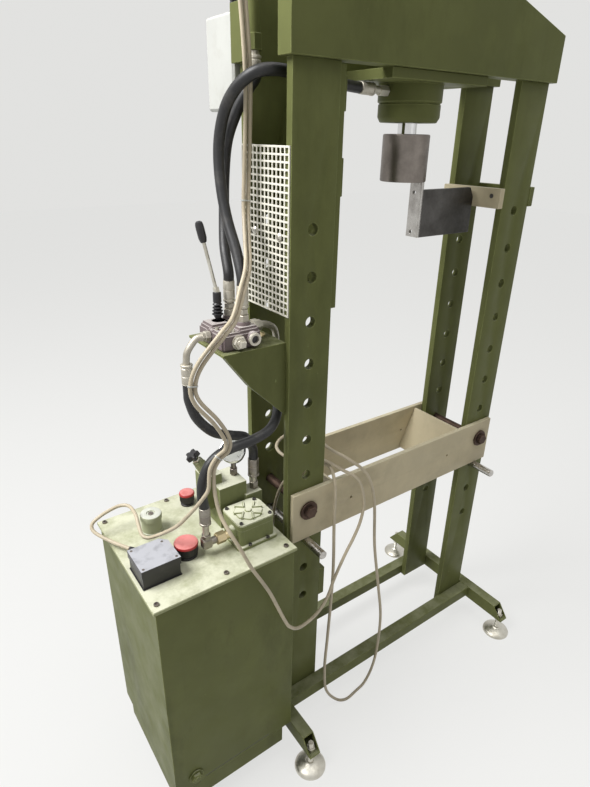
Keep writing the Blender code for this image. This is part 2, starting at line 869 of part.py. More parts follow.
def terminal_lid():
    base = LID_TOP + TERMINAL_HEIGHT + 2 * GAP
    lip = Vector((TERMINAL_LIP, TERMINAL_LIP, 0.0))
    low = side(*TERMINAL_AT, base)
    high = low + Vector((TERMINAL_LENGTH, TERMINAL_DEPTH, 0.019))
    lid = box("terminal_box_lid", low - lip, high + lip, BLACK)
    return bevel(lid, 0.003, 1)


def breather():
    at = side(-0.312, 0.165, LID_TOP + GAP)
    profile = [
        (0.0, 0.046),
        (0.005, 0.046),
        (0.006, 0.052),
        (0.022, 0.053),
        (0.028, 0.047),
        (0.028, 0.0),
        (0.0, 0.0),
    ]
    return turned("breather_cup", profile, at, WHITE, steps=16)


def filler_cap(name, x, y, radius):
    at = side(x, y, LID_TOP + GAP)
    profile = [
        (0.0, 0.039),
        (radius - 0.006, 0.038),
        (radius, 0.033),
        (radius, 0.024),
        (radius - 0.002, 0.022),
        (radius - 0.002, 0.0),
        (0.0, 0.0),
    ]
    return turned(name, profile, at, RED, steps=16)


COVER_LOW = (-0.165, -0.036)
COVER_HIGH = (-0.061, 0.059)
COVER_HEIGHT = 0.07
COVER_FOOT = 0.0065
COVER_PORT = (-0.002, 0.037)
COVER_PORT_LENGTH = 0.012


def cover_block():
    """The cast cover on the lid, with cut corners, a foot flange and a raised top."""
    base = LID_TOP + GAP
    low = side(*COVER_LOW, base)
    high = side(*COVER_HIGH, base + COVER_HEIGHT)
    chamfer = 0.012
    outline = [
        (low.x + chamfer, low.y),
        (high.x - chamfer, low.y),
        (high.x, low.y + chamfer),
        (high.x, high.y - 2 * chamfer),
        (high.x - 2 * chamfer, high.y),
        (low.x + chamfer, high.y),
        (low.x, high.y - chamfer),
        (low.x, low.y + chamfer),
    ]
    body = prism("pump_cover", outline, "Z", low.z, high.z, LEAF_GREEN)
    foot_low = low - Vector((COVER_FOOT, COVER_FOOT, 0.0))
    foot = box("cover_foot", foot_low, (high.x + COVER_FOOT, high.y - 0.003, base + 0.009))
    middle = (low + high) / 2
    crown = turned(
        "pump_cover_crown",
        [(0.0, 0.007), (0.034, 0.007), (0.038, 0.003), (0.038, -0.003), (0.0, -0.003)],
        (middle.x, middle.y, high.z),
        steps=16,
    )
    port_y, port_z = COVER_PORT
    at = side(COVER_LOW[0], port_y, LID_TOP + port_z)
    boss = rod_profile(0.019, -COVER_PORT_LENGTH, 0.004)
    port = turned("pump_cover_port", boss, at, None, "X", 14)
    return join(body, foot, crown, port)


RELIEF_LEAN = (math.radians(-4), math.radians(-31), 0.0)
RELIEF_AT = (-0.1734, 0.118, LID_TOP + 0.1574)
MANIFOLD_HEIGHT = 0.12
MANIFOLD_STEP = 0.08


def manifold():
    """The ported block, with the leaning body of its relief valve."""
    base = LID_TOP + GAP
    high = side(-0.083, 0.152, base + MANIFOLD_HEIGHT)
    body = box("manifold_block", side(-0.162, 0.068, base), high, LEAF_GREEN)
    step_high = side(-0.041, 0.106, base + MANIFOLD_STEP)
    step = box("manifold_step", side(-0.09, 0.06, base), step_high)
    upper_high = side(-0.14, 0.148, base + MANIFOLD_HEIGHT + 0.028)
    upper = box("manifold_upper", side(-0.189, 0.095, base + 0.05), upper_high)
    profile = [
        (0.0, 0.052),
        (0.0085, 0.052),
        (0.0085, 0.03),
        (0.013, 0.03),
        (0.013, 0.014),
        (0.016, 0.014),
        (0.016, 0.004),
        (0.011, 0.004),
        (0.011, -0.03),
        (0.0, -0.03),
    ]
    relief = turned("relief_valve", profile, side(*RELIEF_AT), None, RELIEF_LEAN, 20)
    return join(body, step, upper, relief)


def star_knob():
    """The star grip that turns on the tip of the relief valve."""
    points = []
    arms = 5
    for i in range(arms * 2):
        radius = 0.019 if i % 2 == 0 else 0.0105
        for turn in (-0.22, 0.22):
            angle = (i + turn) * math.pi / arms
            points.append((radius * math.cos(angle), radius * math.sin(angle)))
    knob = prism("relief_knob", points, "Z", 0.0525, 0.068, BLACK)
    knob.location = side(*RELIEF_AT) + SHIFT
    knob.rotation_euler = RELIEF_LEAN
    return knob


GAUGE_LEAN = (math.radians(42), 0.0, math.radians(-38))
GAUGE_AT = (-0.096, 0.112, LID_TOP + 0.191)


def gauge_case():
    """Chrome case with a dial recess and its stem down to the manifold."""
    profile = [
        (0.0, 0.008),
        (0.0295, 0.008),
        (0.0295, 0.014),
        (0.0325, 0.014),
        (0.034, 0.012),
        (0.034, 0.004),
        (0.03, 0.0),
        (0.03, -0.016),
        (0.027, -0.018),
        (0.0, -0.018),
    ]
    at = side(*GAUGE_AT)
    case = turned("pressure_gauge", profile, at, CHROME, GAUGE_LEAN, 20)
    foot = side(GAUGE_AT[0], GAUGE_AT[1], LID_TOP + MANIFOLD_HEIGHT + 2 * GAP)
    stem = turned(
        "gauge_stem",
        [
            (0.0, 0.05),
            (0.007, 0.05),
            (0.007, 0.02),
            (0.011, 0.02),
            (0.011, 0.004),
            (0.008, 0.004),
            (0.008, 0.0),
            (0.0, 0.0),
        ],
        foot,
        steps=8,
    )
    return join(case, stem)


def gauge_pointer():
    outline = [(-0.006, -0.001), (0.0, -0.0022), (0.022, -0.0005), (0.022, 0.0005)]
    outline += [(0.0, 0.0022), (-0.006, 0.001)]
    pointer = prism("gauge_pointer", outline, "Z", 0.0083, 0.0093, BLACK)
    pointer.location = side(*GAUGE_AT) + SHIFT
    pointer.rotation_euler = GAUGE_LEAN
    return pointer


# Valve on its shelf


def valve_bracket():
    """Bent sheet: a shelf, a front gusset and a flange along the gusset's edge."""
    top = SHELF_TOP
    low = top - SHEET_THICK
    front = 0.014
    shelf = box("valve_bracket", side(-SHELF_REACH, front, low), side(-GAP, 0.183, top), GREEN)
    corner = side(0.0, front, 0.0)
    outline = [
        (corner.x - SHELF_REACH, top - 0.001),
        (corner.x - 0.097, 1.193),
        (corner.x - GAP, 1.097),
        (corner.x - GAP, top - 0.001),
    ]
    gusset = prism("valve_gusset", outline, "Y", corner.y, corner.y + SHEET_THICK)
    flange_outline = [
        (corner.x - SHELF_REACH, top - 0.001),
        (corner.x - 0.097, 1.193),
        (corner.x - GAP, 1.097),
        (corner.x - GAP, 1.104),
        (corner.x - 0.092, 1.198),
        (corner.x - SHELF_REACH + 0.008, top - 0.001),
    ]
    flange = prism(
        "valve_flange", flange_outline, "Y", corner.y + 0.001, corner.y + FLANGE_WIDTH
    )
    return join(shelf, gusset, flange)


def valve_body():
    base = SHELF_TOP + GAP
    top = VALVE_TOP
    body = box("valve_body", side(-0.158, 0.028, base), side(-0.058, 0.142, top), CAST)
    bevel(body, 0.006, 1)
    front = side(0.0, 0.029, 0.0).y
    plug_x = side(-0.12, 0.0, 0.0).x
    port_x = side(-0.083, 0.0, 0.0).x
    plug = turned(
        "valve_plug",
        [
            (0.0, 0.0),
            (0.013, 0.0),
            (0.013, -0.009),
            (0.007, -0.009),
            (0.007, -0.022),
            (0.0, -0.022),
        ],
        (plug_x, front, base + 0.018),
        axis="Y",
        steps=8,
    )
    at = (port_x, front, base + 0.02)
    port = turned("valve_port", rod_profile(0.0125, -0.014, 0.0), at, None, "Y", 12)
    hole = turned("valve_port_hole", rod_profile(0.0065, -0.03, 0.004), at, None, "Y", 10)
    boss = rod_profile(0.015, -0.004, BOSS_HEIGHT)
    boss_a = turned("valve_boss_a", boss, side(-0.087, 0.06, top), steps=12)
    boss_b = turned("valve_boss_b", boss, side(-0.087, 0.12, top), steps=12)
    join(body, plug, port, boss_a, boss_b)
    return cut(body, hole)


LEVER_BALL = 0.0085
LEVER_AT = (-0.121, 0.115, VALVE_TOP + GAP + LEVER_BALL)
LEVER_LEAN = (math.radians(-6), math.radians(-7), 0.0)


def valve_lever():
    """Hand lever: its rubber boot, the rod and the grip, on a pivot in the valve."""
    profile = [
        (0.0, 0.214),
        (0.007, 0.214),
        (0.011, 0.209),
        (0.011, 0.176),
        (0.007, 0.168),
        (0.004, 0.168),
        (0.004, 0.07),
        (0.008, 0.068),
        (0.008, 0.056),
        (0.0115, 0.054),
        (0.0115, 0.03),
        (0.009, 0.026),
        (0.0125, 0.022),
        (0.0095, 0.017),
        (0.0135, 0.012),
        (0.0105, 0.007),
        (LEVER_BALL, 0.0),
        (LEVER_BALL * 0.87, -LEVER_BALL * 0.5),
        (LEVER_BALL * 0.5, -LEVER_BALL * 0.87),
        (0.0, -LEVER_BALL),
    ]
    return turned("valve_lever", profile, side(*LEVER_AT), RUBBER, LEVER_LEAN, 10)


# Hoses and pipes


def hose_lower_port():
    """Hose from the valve's top to the port on the gland's left side."""
    start = side(-0.087, 0.06, VALVE_TOP + BOSS_HEIGHT + GAP)
    port_z = GLAND_TOP - GLAND_PORT_DROP
    gland_left = Vector((-GLAND_RADIUS - 0.0008, 0.0, port_z))
    bend_end = side(0.05, 0.062, 1.838)
    route = smooth_path(
        [
            start + Vector((0.0, 0.0, 0.095)),
            side(-0.082, 0.09, 1.49),
            side(-0.08, 0.134, 1.56),
            side(-0.078, 0.16, 1.64),
            side(-0.074, 0.165, 1.71),
            side(-0.068, 0.145, 1.77),
            side(-0.06, 0.11, 1.808),
            side(-0.042, 0.075, 1.832),
            side(-0.01, 0.058, 1.84),
            bend_end,
            side(0.15, 0.078, 1.829),
            gland_left - Vector((0.09, 0.0, -0.003)),
        ]
    )
    end = gland_left - Vector((0.085, 0.0, -0.003))
    stretches = [
        ([start, start + Vector((0.0, 0.0, 0.02))], 0.0105),
        ([start + Vector((0.0, 0.0, 0.0205)), start + Vector((0.0, 0.0, 0.03))], 0.0095),
        ([start + Vector((0.0, 0.0, 0.0305)), start + Vector((0.0, 0.0, 0.09))], FERRULE_RADIUS),
        (route, HOSE_RADIUS),
        ([end, between(end, gland_left, 0.45)], FERRULE_RADIUS),
        ([between(end, gland_left, 0.46), between(end, gland_left, 0.7)], 0.0085),
        ([between(end, gland_left, 0.71), gland_left], 0.0115),
    ]
    return tube("hose_gland", stretches, RUBBER)


def cylinder_pipe():
    """Rigid pipe from the upper hose, up between the beams to the cylinder's top."""
    low = side(0.0, 0.137, 1.879)
    top = BARREL_TOP - 0.06
    port = Vector((-BARREL_RADIUS - 0.0006, 0.0, top))
    up = Vector((low.x, low.y, top - 0.05))
    over = Vector((low.x + 0.05, low.y - 0.01, top))
    along = port - Vector((0.06, 0.0, 0.0))
    corner = (up + over) / 2 + Vector((-0.012, 0.0, 0.012))
    bend = smooth_path([up - Vector((0.0, 0.0, 0.03)), up, corner, over, along])
    stretches = [
        ([low, low + Vector((0.0, 0.0, 0.03))], 0.015),
        ([low + Vector((0.0, 0.0, 0.031)), *bend], 0.0125),
        ([port - Vector((0.03, 0.0, 0.0)), port], 0.016),
    ]
    return tube("cylinder_pipe", stretches, GREEN)


def hose_upper_port():
    """Hose from the valve's top to the foot of the rigid pipe."""
    start = side(-0.087, 0.12, VALVE_TOP + BOSS_HEIGHT + GAP)
    end = side(0.0, 0.137, 1.8785)
    route = smooth_path(
        [
            start + Vector((0.0, 0.0, 0.095)),
            side(-0.07, 0.165, 1.49),
            side(-0.052, 0.195, 1.56),
            side(-0.045, 0.2, 1.64),
            side(-0.04, 0.19, 1.71),
            side(-0.03, 0.165, 1.765),
            side(-0.015, 0.145, 1.805),
            end - Vector((0.0, 0.0, 0.05)),
        ]
    )
    stretches = [
        ([start, start + Vector((0.0, 0.0, 0.02))], 0.0105),
        ([start + Vector((0.0, 0.0, 0.0205)), start + Vector((0.0, 0.0, 0.03))], 0.0095),
        ([start + Vector((0.0, 0.0, 0.0305)), start + Vector((0.0, 0.0, 0.09))], FERRULE_RADIUS),
        (route, HOSE_RADIUS),
        ([end - Vector((0.0, 0.0, 0.045)), end - Vector((0.0, 0.0, 0.008))], FERRULE_RADIUS),
        ([end - Vector((0.0, 0.0, 0.007)), end], 0.0105),
    ]
    return tube("hose_pipe", stretches, RUBBER)


def hose_pressure():
    """Pipe elbow off the valve's left side and the hose on to the manifold."""
    start = side(-0.158 - GAP, 0.088, SHELF_TOP + 0.025)
    elbow = smooth_path(
        [
            start - Vector((0.014, 0.0, 0.0)),
            side(-0.192, 0.092, 1.305),
            side(-0.211, 0.095, 1.28),
            side(-0.2145, 0.097, 1.24),
            side(-0.2145, 0.098, 1.215),
        ]
    )
    foot = side(-0.0525, 0.083, LID_TOP + MANIFOLD_STEP + 2 * GAP)
    route = smooth_path(
        [
            side(-0.2145, 0.098, 1.162),
            side(-0.2, 0.092, 1.11),
            side(-0.165, 0.08, 1.068),
            side(-0.12, 0.07, 1.05),
            side(-0.085, 0.07, 1.035),
            side(-0.063, 0.077, 1.003),
            foot + Vector((0.0, 0.0, 0.115)),
        ]
    )
    stretches = [
        ([start, start - Vector((0.013, 0.0, 0.0))], 0.0115),
        (elbow, PIPE_RADIUS),
        ([side(-0.2145, 0.098, 1.214), side(-0.2145, 0.098, 1.165)], FERRULE_RADIUS),
        (route, HOSE_RADIUS),
        ([foot + Vector((0.0, 0.0, 0.11)), foot + Vector((0.0, 0.0, 0.06))], FERRULE_RADIUS),
        ([foot + Vector((0.0, 0.0, 0.0595)), foot + Vector((0.0, 0.0, 0.02))], PIPE_RADIUS),
        ([foot + Vector((0.0, 0.0, 0.0195)), foot], 0.0115),
    ]
    return tube("hose_pressure", stretches, RUBBER)


def hose_return():
    """Pipe elbow off the valve's right side and the hose back to the pump cover."""
    start = side(-0.058 + GAP, 0.088, SHELF_TOP + 0.028)
    elbow = smooth_path(
        [
            start + Vector((0.014, 0.0, 0.0)),
            side(-0.01, 0.088, 1.312),
            side(0.014, 0.088, 1.298),
            side(0.022, 0.088, 1.27),
            side(0.022, 0.088, 1.22),
        ]
    )
    port_y, port_z = COVER_PORT
    foot = side(-0.239, port_y, LID_TOP + port_z)
    cover = side(COVER_LOW[0] - COVER_PORT_LENGTH - GAP, port_y, LID_TOP + port_z)
    route = smooth_path(
        [
            side(0.022, 0.088, 1.168),
            side(0.02, 0.08, 1.12),
            side(-0.004, 0.045, 1.085),
            side(-0.045, 0.018, 1.066),
            side(-0.1, 0.01, 1.057),
            side(-0.15, 0.006, 1.057),
            side(-0.193, 0.002, 1.052),
            side(-0.222, 0.0, 1.032),
            side(-0.239, -0.001, 0.995),
            side(-0.243, -0.002, 0.96),
            foot + Vector((-0.001, 0.0, 0.11)),
        ]
    )
    stretches = [
        ([start, start + Vector((0.013, 0.0, 0.0))], 0.0115),
        (elbow, PIPE_RADIUS),
        ([side(0.022, 0.088, 1.2195), side(0.022, 0.088, 1.172)], FERRULE_RADIUS),
        (route, HOSE_RADIUS),
        ([foot + Vector((0.0, 0.0, 0.105)), foot + Vector((0.0, 0.0, 0.058))], FERRULE_RADIUS),
        ([foot + Vector((0.0, 0.0, 0.0575)), foot + Vector((0.0, 0.0, 0.02))], PIPE_RADIUS),
        ([foot + Vector((0.0, 0.0, 0.0195)), foot + Vector((0.0, 0.0, 0.004))], 0.0115),
        ([foot + Vector((0.004, 0.0, 0.0)), between(foot, cover, 0.6)], 0.0095),
        ([between(foot, cover, 0.61), cover], 0.013),
    ]
    return tube("hose_return", stretches, RUBBER)


# Electrics


def control_cabinet():
    low = side(-0.01, 2 * BAR_OUTER_Y + BEAM_LIP + GAP, 1.77)
    high = low + Vector((0.14, 0.12, 0.187))
    body = box("control_cabinet", low, high, WHITE)
    return bevel(body, 0.005, 1)


CABLE_WAY = [
    (0.03, 0.265, 1.9575),
    (0.03, 0.265, 2.01),
    (0.012, 0.235, 2.045),
    (-0.025, 0.18, 2.062),
    (-0.038, 0.13, 2.03),
    (-0.036, 0.118, 1.95),
    (-0.033, 0.11, 1.83),
    (-0.03, 0.122, 1.7),
    (-0.034, 0.126, 1.59),
    (-0.05, 0.098, 1.527),
    (-0.08, 0.046, 1.465),
    (-0.108, 0.024, 1.42),
    (-0.142, 0.0, 1.37),
    (-0.184, -0.02, 1.345),
    (-0.237, -0.02, 1.292),
    (-0.257, -0.022, 1.25),
    (-0.251, -0.026, 1.212),
    (-0.212, -0.03, 1.157),
    (-0.187, -0.03, 1.108),
    (-0.188, -0.03, 1.08),
    (-0.21, -0.03, 1.066),
    (-0.226, -0.03, 1.045),
    (-0.231, -0.032, 1.025),
]
ARCH_POINTS = 5
CABLE_APART = 0.0058


def cable_start(turn):
    """The way both cables share, side by side, from the cabinet down to the tank."""
    places = [side(*place) for place in CABLE_WAY]
    route = []
    for i, place in enumerate(places):
        along = places[min(i + 1, len(places) - 1)] - places[max(i - 1, 0)]
        across = Vector((-along.z, 0.0, along.x)).normalized()
        if i < ARCH_POINTS:
            across = Vector((1.0, 0.0, 0.0))
        route.append(place + across * turn * CABLE_APART)
    return route


MOTOR_ROUTE = [
    (-0.242, -0.036, 0.998),
    (-0.256, -0.034, 0.977),
    (-0.282, -0.015, 0.934),
    (-0.305, 0.025, 0.88),
    (-0.343, 0.08, 0.832),
    (-0.359, 0.1, 0.829),
    (-0.357, 0.13, 0.838),
    (-0.351, 0.165, 0.85),
    (-0.353, 0.204, 0.852),
    (-0.371, 0.222, 0.85),
    (-0.398, 0.223, 0.846),
    (-0.424, 0.22, 0.84),
    (-0.446, 0.219, 0.826),
    (-0.447, 0.204, 0.812),
    (-0.425, 0.166, 0.802),
    (-0.398, 0.115, 0.802),
    (-0.386, 0.092, LID_TOP + 0.0203),
    (-0.384, 0.0735, LID_TOP + 0.0203),
]


def motor_cable():
    """Lead from the cabinet to the terminal box on the tank."""
    points = cable_start(-1) + [side(*place) for place in MOTOR_ROUTE]
    return tube("motor_cable", [(points, CABLE_RADIUS)], BEIGE_PVC, 1)


SUPPLY_ROUTE = [
    (-0.229, -0.042, 0.98),
    (-0.227, -0.06, 0.935),
    (-0.219, -0.085, 0.9),
    (-0.203, -0.104, 0.857),
    (-0.184, -0.12, 0.804),
    (-0.158, -0.128, 0.75),
    (-0.135, -0.128, 0.7),
    (-0.094, -0.128, 0.592),
    (-0.072, -0.124, 0.55),
    (-0.036, -0.118, 0.522),
    (0.03, -0.105, 0.52),
    (0.078, -0.09, 0.54),
    (0.11, -0.08, 0.586),
    (0.152, -0.072, 0.646),
    (0.188, -0.066, 0.69),
    (0.215, -0.06, 0.735),
    (0.228, -0.052, 0.79),
    (0.206, -0.045, 0.863),
    (0.168, -0.02, 0.895),
    (0.14, 0.012, 0.914),
    (0.112, 0.042, 0.922),
    (0.075, 0.06, 0.925),
    (0.045, 0.085, 0.93),
    (0.045, 0.12, 0.942),
    (0.08, 0.135, 0.955),
    (0.118, 0.11, 0.962),
    (0.14, 0.06, 0.96),
    (0.15, 0.01, 0.95),
    (0.185, -0.03, 0.925),
    (0.24, -0.045, 0.866),
    (0.277, -0.045, 0.76),
    (0.29, -0.05, 0.6),
    (0.318, -0.055, 0.43),
    (0.343, -0.056, 0.285),
    (0.342, -0.057, 0.145),
    (0.325, -0.059, 0.06),
    (0.29, -0.063, 0.012),
    (0.25, -0.068, 0.006),
    (0.2, -0.073, 0.006),
    (0.165, -0.062, 0.02),
    (0.124, -0.056, 0.09),
    (0.113, -0.055, 0.195),
    (0.118, -0.055, 0.327),
    (0.128, -0.05, 0.466),
    (0.134, -0.045, 0.596),
    (0.132, -0.04, 0.744),
    (0.134, -0.035, 0.845),
    (0.142, -0.012, 0.889),
    (0.142, 0.015, 0.902),
    (0.118, 0.042, 0.9),
    (0.08, 0.055, 0.885),
    (0.04, 0.075, 0.85),
    (0.026, 0.1, 0.76),
    (0.024, 0.12, 0.6),
    (0.016, 0.13, 0.45),
    (-0.02, 0.15, 0.375),
    (-0.028, 0.245, 0.305),
    (-0.038, 0.292, 0.24),
    (-0.072, 0.305, 0.12),
    (-0.092, 0.315, 0.035),
    (-0.125, 0.325, 0.006),
    (-0.16, 0.331, 0.006),
    (-0.19, 0.33, 0.012),
    (-0.22, 0.326, 0.0242),
    (-0.25, 0.326, 0.0242),
]
PLUG_AT = SUPPLY_ROUTE[-1]


def supply_cord():
    """The free supply lead: over the bed, down in a loop and away behind the tank."""
    points = cable_start(1) + [side(*place) for place in SUPPLY_ROUTE]
    return tube("supply_cord", [(points, CABLE_RADIUS)], BEIGE_PVC, 1)


def supply_plug():
    """The plug on the end of the supply lead, lying on the floor behind the tank."""
    at = side(PLUG_AT[0] - GAP, PLUG_AT[1], PLUG_AT[2])
    return turned(
        "supply_plug",
        [
            (0.0, 0.0),
            (0.007, 0.0),
            (0.009, -0.02),
            (0.02, -0.034),
            (0.022, -0.05),
            (0.022, -0.085),
            (0.024, -0.087),
            (0.024, -0.097),
            (0.0, -0.097),
        ],
        at,
        RED,
        "X",
        12,
    )


def build():
    for x_name, x_sign in (("left", -1), ("right", 1)):
        for y_name, y_sign in (("front", -1), ("rear", 1)):
            upright(f"upright_{y_name}_{x_name}", x_sign, y_sign)
            levelling_foot(f"levelling_foot_{y_name}_{x_name}", x_sign, y_sign)
        base_tube(f"foot_tube_{x_name}", x_sign)
        bed_end_plate(f"bed_end_plate_{x_name}", x_sign)
        bed_bolt(f"bed_bolt_{x_name}", x_sign)
        bed_pin(f"bed_pin_{x_name}", x_sign)
    for y_name, y_sign in (("front", -1), ("rear", 1)):
        crosshead(f"crosshead_{y_name}", y_sign)
        base_rail(f"base_rail_{y_name}", y_sign)
        bed_plate(f"bed_plate_{y_name}", y_sign)
    mount_plate()
    barrel()
    gland()
    ram_rod()
    ram_head()
    mesh_guard()
    side_cover()
    arm_clamp_inner()
    arm_clamp_outer()
    arm_plate()
    tank_body()
    tank_lid()
    tank_motor()
    tank_hanger()
    tank_clamp_plate()
    drain_plug()
    terminal_box()
    terminal_lid()
    breather()
    filler_cap("filler_cap_front", -0.279, 0.029, 0.03)
    filler_cap("filler_cap_rear", -0.187, 0.219, 0.0215)
    cover_block()
    manifold()
    star_knob()
    gauge_case()
    gauge_pointer()
    valve_bracket()
    valve_body()
    valve_lever()
    hose_lower_port()
    hose_upper_port()
    cylinder_pipe()
    hose_pressure()
    hose_return()
    control_cabinet()
    motor_cable()
    supply_cord()
    supply_plug()


build()
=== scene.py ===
"""Looks of the hydraulic press: finishes, hoses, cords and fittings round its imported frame."""

import json
import math

import bmesh
import bpy
from mathutils import Matrix, Vector


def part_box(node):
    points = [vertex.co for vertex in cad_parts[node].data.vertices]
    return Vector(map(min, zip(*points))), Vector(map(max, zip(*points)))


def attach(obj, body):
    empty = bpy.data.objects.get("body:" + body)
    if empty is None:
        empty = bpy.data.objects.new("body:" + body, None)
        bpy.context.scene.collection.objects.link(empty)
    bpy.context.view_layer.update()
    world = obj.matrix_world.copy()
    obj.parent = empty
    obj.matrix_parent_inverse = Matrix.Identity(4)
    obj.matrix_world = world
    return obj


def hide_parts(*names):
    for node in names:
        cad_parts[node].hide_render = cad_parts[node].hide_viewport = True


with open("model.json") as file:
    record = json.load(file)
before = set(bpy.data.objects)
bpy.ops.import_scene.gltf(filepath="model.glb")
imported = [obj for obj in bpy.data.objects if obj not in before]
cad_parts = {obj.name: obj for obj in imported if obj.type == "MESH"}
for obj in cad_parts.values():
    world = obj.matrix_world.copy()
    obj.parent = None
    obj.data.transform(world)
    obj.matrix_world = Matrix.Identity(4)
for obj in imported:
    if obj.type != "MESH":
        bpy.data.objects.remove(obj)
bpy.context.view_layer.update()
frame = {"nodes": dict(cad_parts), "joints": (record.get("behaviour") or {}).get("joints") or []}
NODES = frame["nodes"]

# Places, worked out from the frame

BAR_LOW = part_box("upright_front_left")[0]
CORNER = Vector((*BAR_LOW.xy, 0))
PRESS_X = sum(corner.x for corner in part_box("ram_head")) / 2
LID_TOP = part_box("tank_lid")[1].z
SHELF_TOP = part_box("valve_bracket")[1].z
TERMINAL_ENTRY_Z = LID_TOP + 0.0203
TOP_PORT_X = -0.087
TOP_PORT_Y = (0.06, 0.12)
SIDE_PORT_Y = 0.088
PIPE_Y = 0.137
GAP = 0.0003
MERGED = 0.00002
RIGHT = Vector((1, 0, 0))
UP = Vector((0, 0, 1))
SIGNS = ((1, 1), (-1, 1), (-1, -1), (1, -1))


def place(x, y, z):
    """A point measured from the left upright's outer front corner on the floor."""
    return CORNER + Vector((x, y, z))


def round_part(name):
    """A round node's middle at its foot, its radius and its height."""
    low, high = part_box(name)
    foot = (low + high) / 2
    foot.z = low.z
    return foot, (high.x - low.x) / 2, high.z - low.z


def reach_of(name):
    """A round node's radius, foot and top."""
    low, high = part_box(name)
    return (high.x - low.x) / 2, low.z, high.z


def joint_of(name):
    return next(joint for joint in frame["joints"] if joint["name"] == name)


def add_object(name, data):
    obj = bpy.data.objects.new(name, data)
    bpy.context.scene.collection.objects.link(obj)
    return obj


# Camera

FOCAL_LENGTH_MM = 25.52
YAW = math.radians(35.757)
PITCH = math.radians(24.784)
ROLL = math.radians(1.0135)
CAMERA_AT = place(-0.6985, -0.9961, 1.7218)


def make_camera():
    data = bpy.data.cameras.new("camera")
    data.lens = FOCAL_LENGTH_MM
    data.clip_start, data.clip_end = 0.05, 60
    level = math.cos(PITCH)
    ahead = Vector((math.sin(YAW) * level, math.cos(YAW) * level, -math.sin(PITCH)))
    level_right = Vector((math.cos(YAW), -math.sin(YAW), 0))
    level_down = ahead.cross(level_right)
    right = level_right * math.cos(ROLL) - level_down * math.sin(ROLL)
    down = level_right * math.sin(ROLL) + level_down * math.cos(ROLL)
    camera = add_object("camera", data)
    turn = Matrix((right, -down, -ahead)).transposed().to_4x4()
    camera.matrix_world = Matrix.Translation(CAMERA_AT) @ turn
    bpy.context.scene.camera = camera


# Materials


class Nodes:
    """A node tree, with short ways to add and link its nodes."""

    def __init__(self, tree):
        self.tree = tree

    def fill(self, node, values):
        """Gives inputs, by name or number, a link where the value is a socket, else a value."""
        for name, value in values.items():
            if isinstance(value, bpy.types.NodeSocket):
                self.tree.links.new(value, node.inputs[name])
            else:
                node.inputs[name].default_value = value

    def node(self, kind, output, values=None, **settings):
        """Adds a node and gives one of its outputs."""
        made = self.tree.nodes.new("ShaderNode" + kind)
        for setting, value in settings.items():
            setattr(made, setting, value)
        self.fill(made, values or {})
        return made.outputs[output]

    def times(self, first, second):
        return self.node("Math", "Value", {0: first, 1: second}, operation="MULTIPLY")


class Look(Nodes):
    """A procedural material, put together from a few kinds of node."""

    # A Mix node's colour inputs and its colour output follow those for numbers and vectors.
    MIX_A, MIX_B, MIX_RESULT = 6, 7, 2

    def __init__(self, name, roughness, metallic=0.0):
        self.material = bpy.data.materials.new(name)
        self.material.use_nodes = True
        super().__init__(self.material.node_tree)
        self.shader = self.tree.nodes["Principled BSDF"]
        self.fill(self.shader, {"Roughness": roughness, "Metallic": metallic})
        self.relief = None

    def noise(self, scale, detail=4.0, roughness=0.55, stretch=(1, 1, 1)):
        spot = self.node("TexCoord", "Object")
        spot = self.node("Mapping", "Vector", {"Vector": spot, "Scale": stretch})
        values = {"Vector": spot, "Scale": scale, "Detail": detail, "Roughness": roughness}
        return self.node("TexNoise", "Fac", values)

    def between(self, value, low, high, start=0.0, end=1.0):
        values = {"From Min": low, "From Max": high, "To Min": start, "To Max": end}
        return self.node("MapRange", "Result", {"Value": value, **values})

    def patches(self, noise, low, high, start=0.0, end=1.0):
        """Noise from start, where it is under low, to end, where it is over high."""
        return self.between(self.noise(*noise), low, high, start, end)

    def mixed(self, share, first, second):
        """Colour first where share is 0 and second where it is 1."""
        values = {"Factor": share}
        for socket, value in ((self.MIX_A, first), (self.MIX_B, second)):
            values[socket] = (*value, 1.0) if isinstance(value, tuple) else value
        return self.node("Mix", self.MIX_RESULT, values, data_type="RGBA")

    def facing_up(self):
        normal = self.node("NewGeometry", "Normal")
        return self.between(self.node("SeparateXYZ", "Z", {"Vector": normal}), 0.75, 0.97)

    def edges(self, radius):
        """1 along convex and concave edges, 0 on open faces."""
        rounded = self.node("Bevel", "Normal", {"Radius": radius}, samples=4)
        normals = {0: rounded, 1: self.node("NewGeometry", "Normal")}
        product = self.node("VectorMath", "Value", normals, operation="DOT_PRODUCT")
        return self.between(product, 0.98, 0.86)

    def bump(self, height, strength, distance):
        values = {"Height": height, "Strength": strength, "Distance": distance}
        if self.relief is not None:
            values["Normal"] = self.relief
        self.relief = self.node("Bump", "Normal", values)

    def finished(self, colour, gloss):
        surface = {"Base Color": colour, "Roughness": gloss, "Normal": self.relief}
        self.fill(self.shader, surface)
        return self.material


PAINT_SHINE = 0.1
# Pale tone for faces that look up: a dusting, and painted highlight of the light from above.
DUST_AND_HIGHLIGHT = (0.72, 0.72, 0.57)


def shade(colour, factor):
    return tuple(min(1.0, channel * factor) for channel in colour)


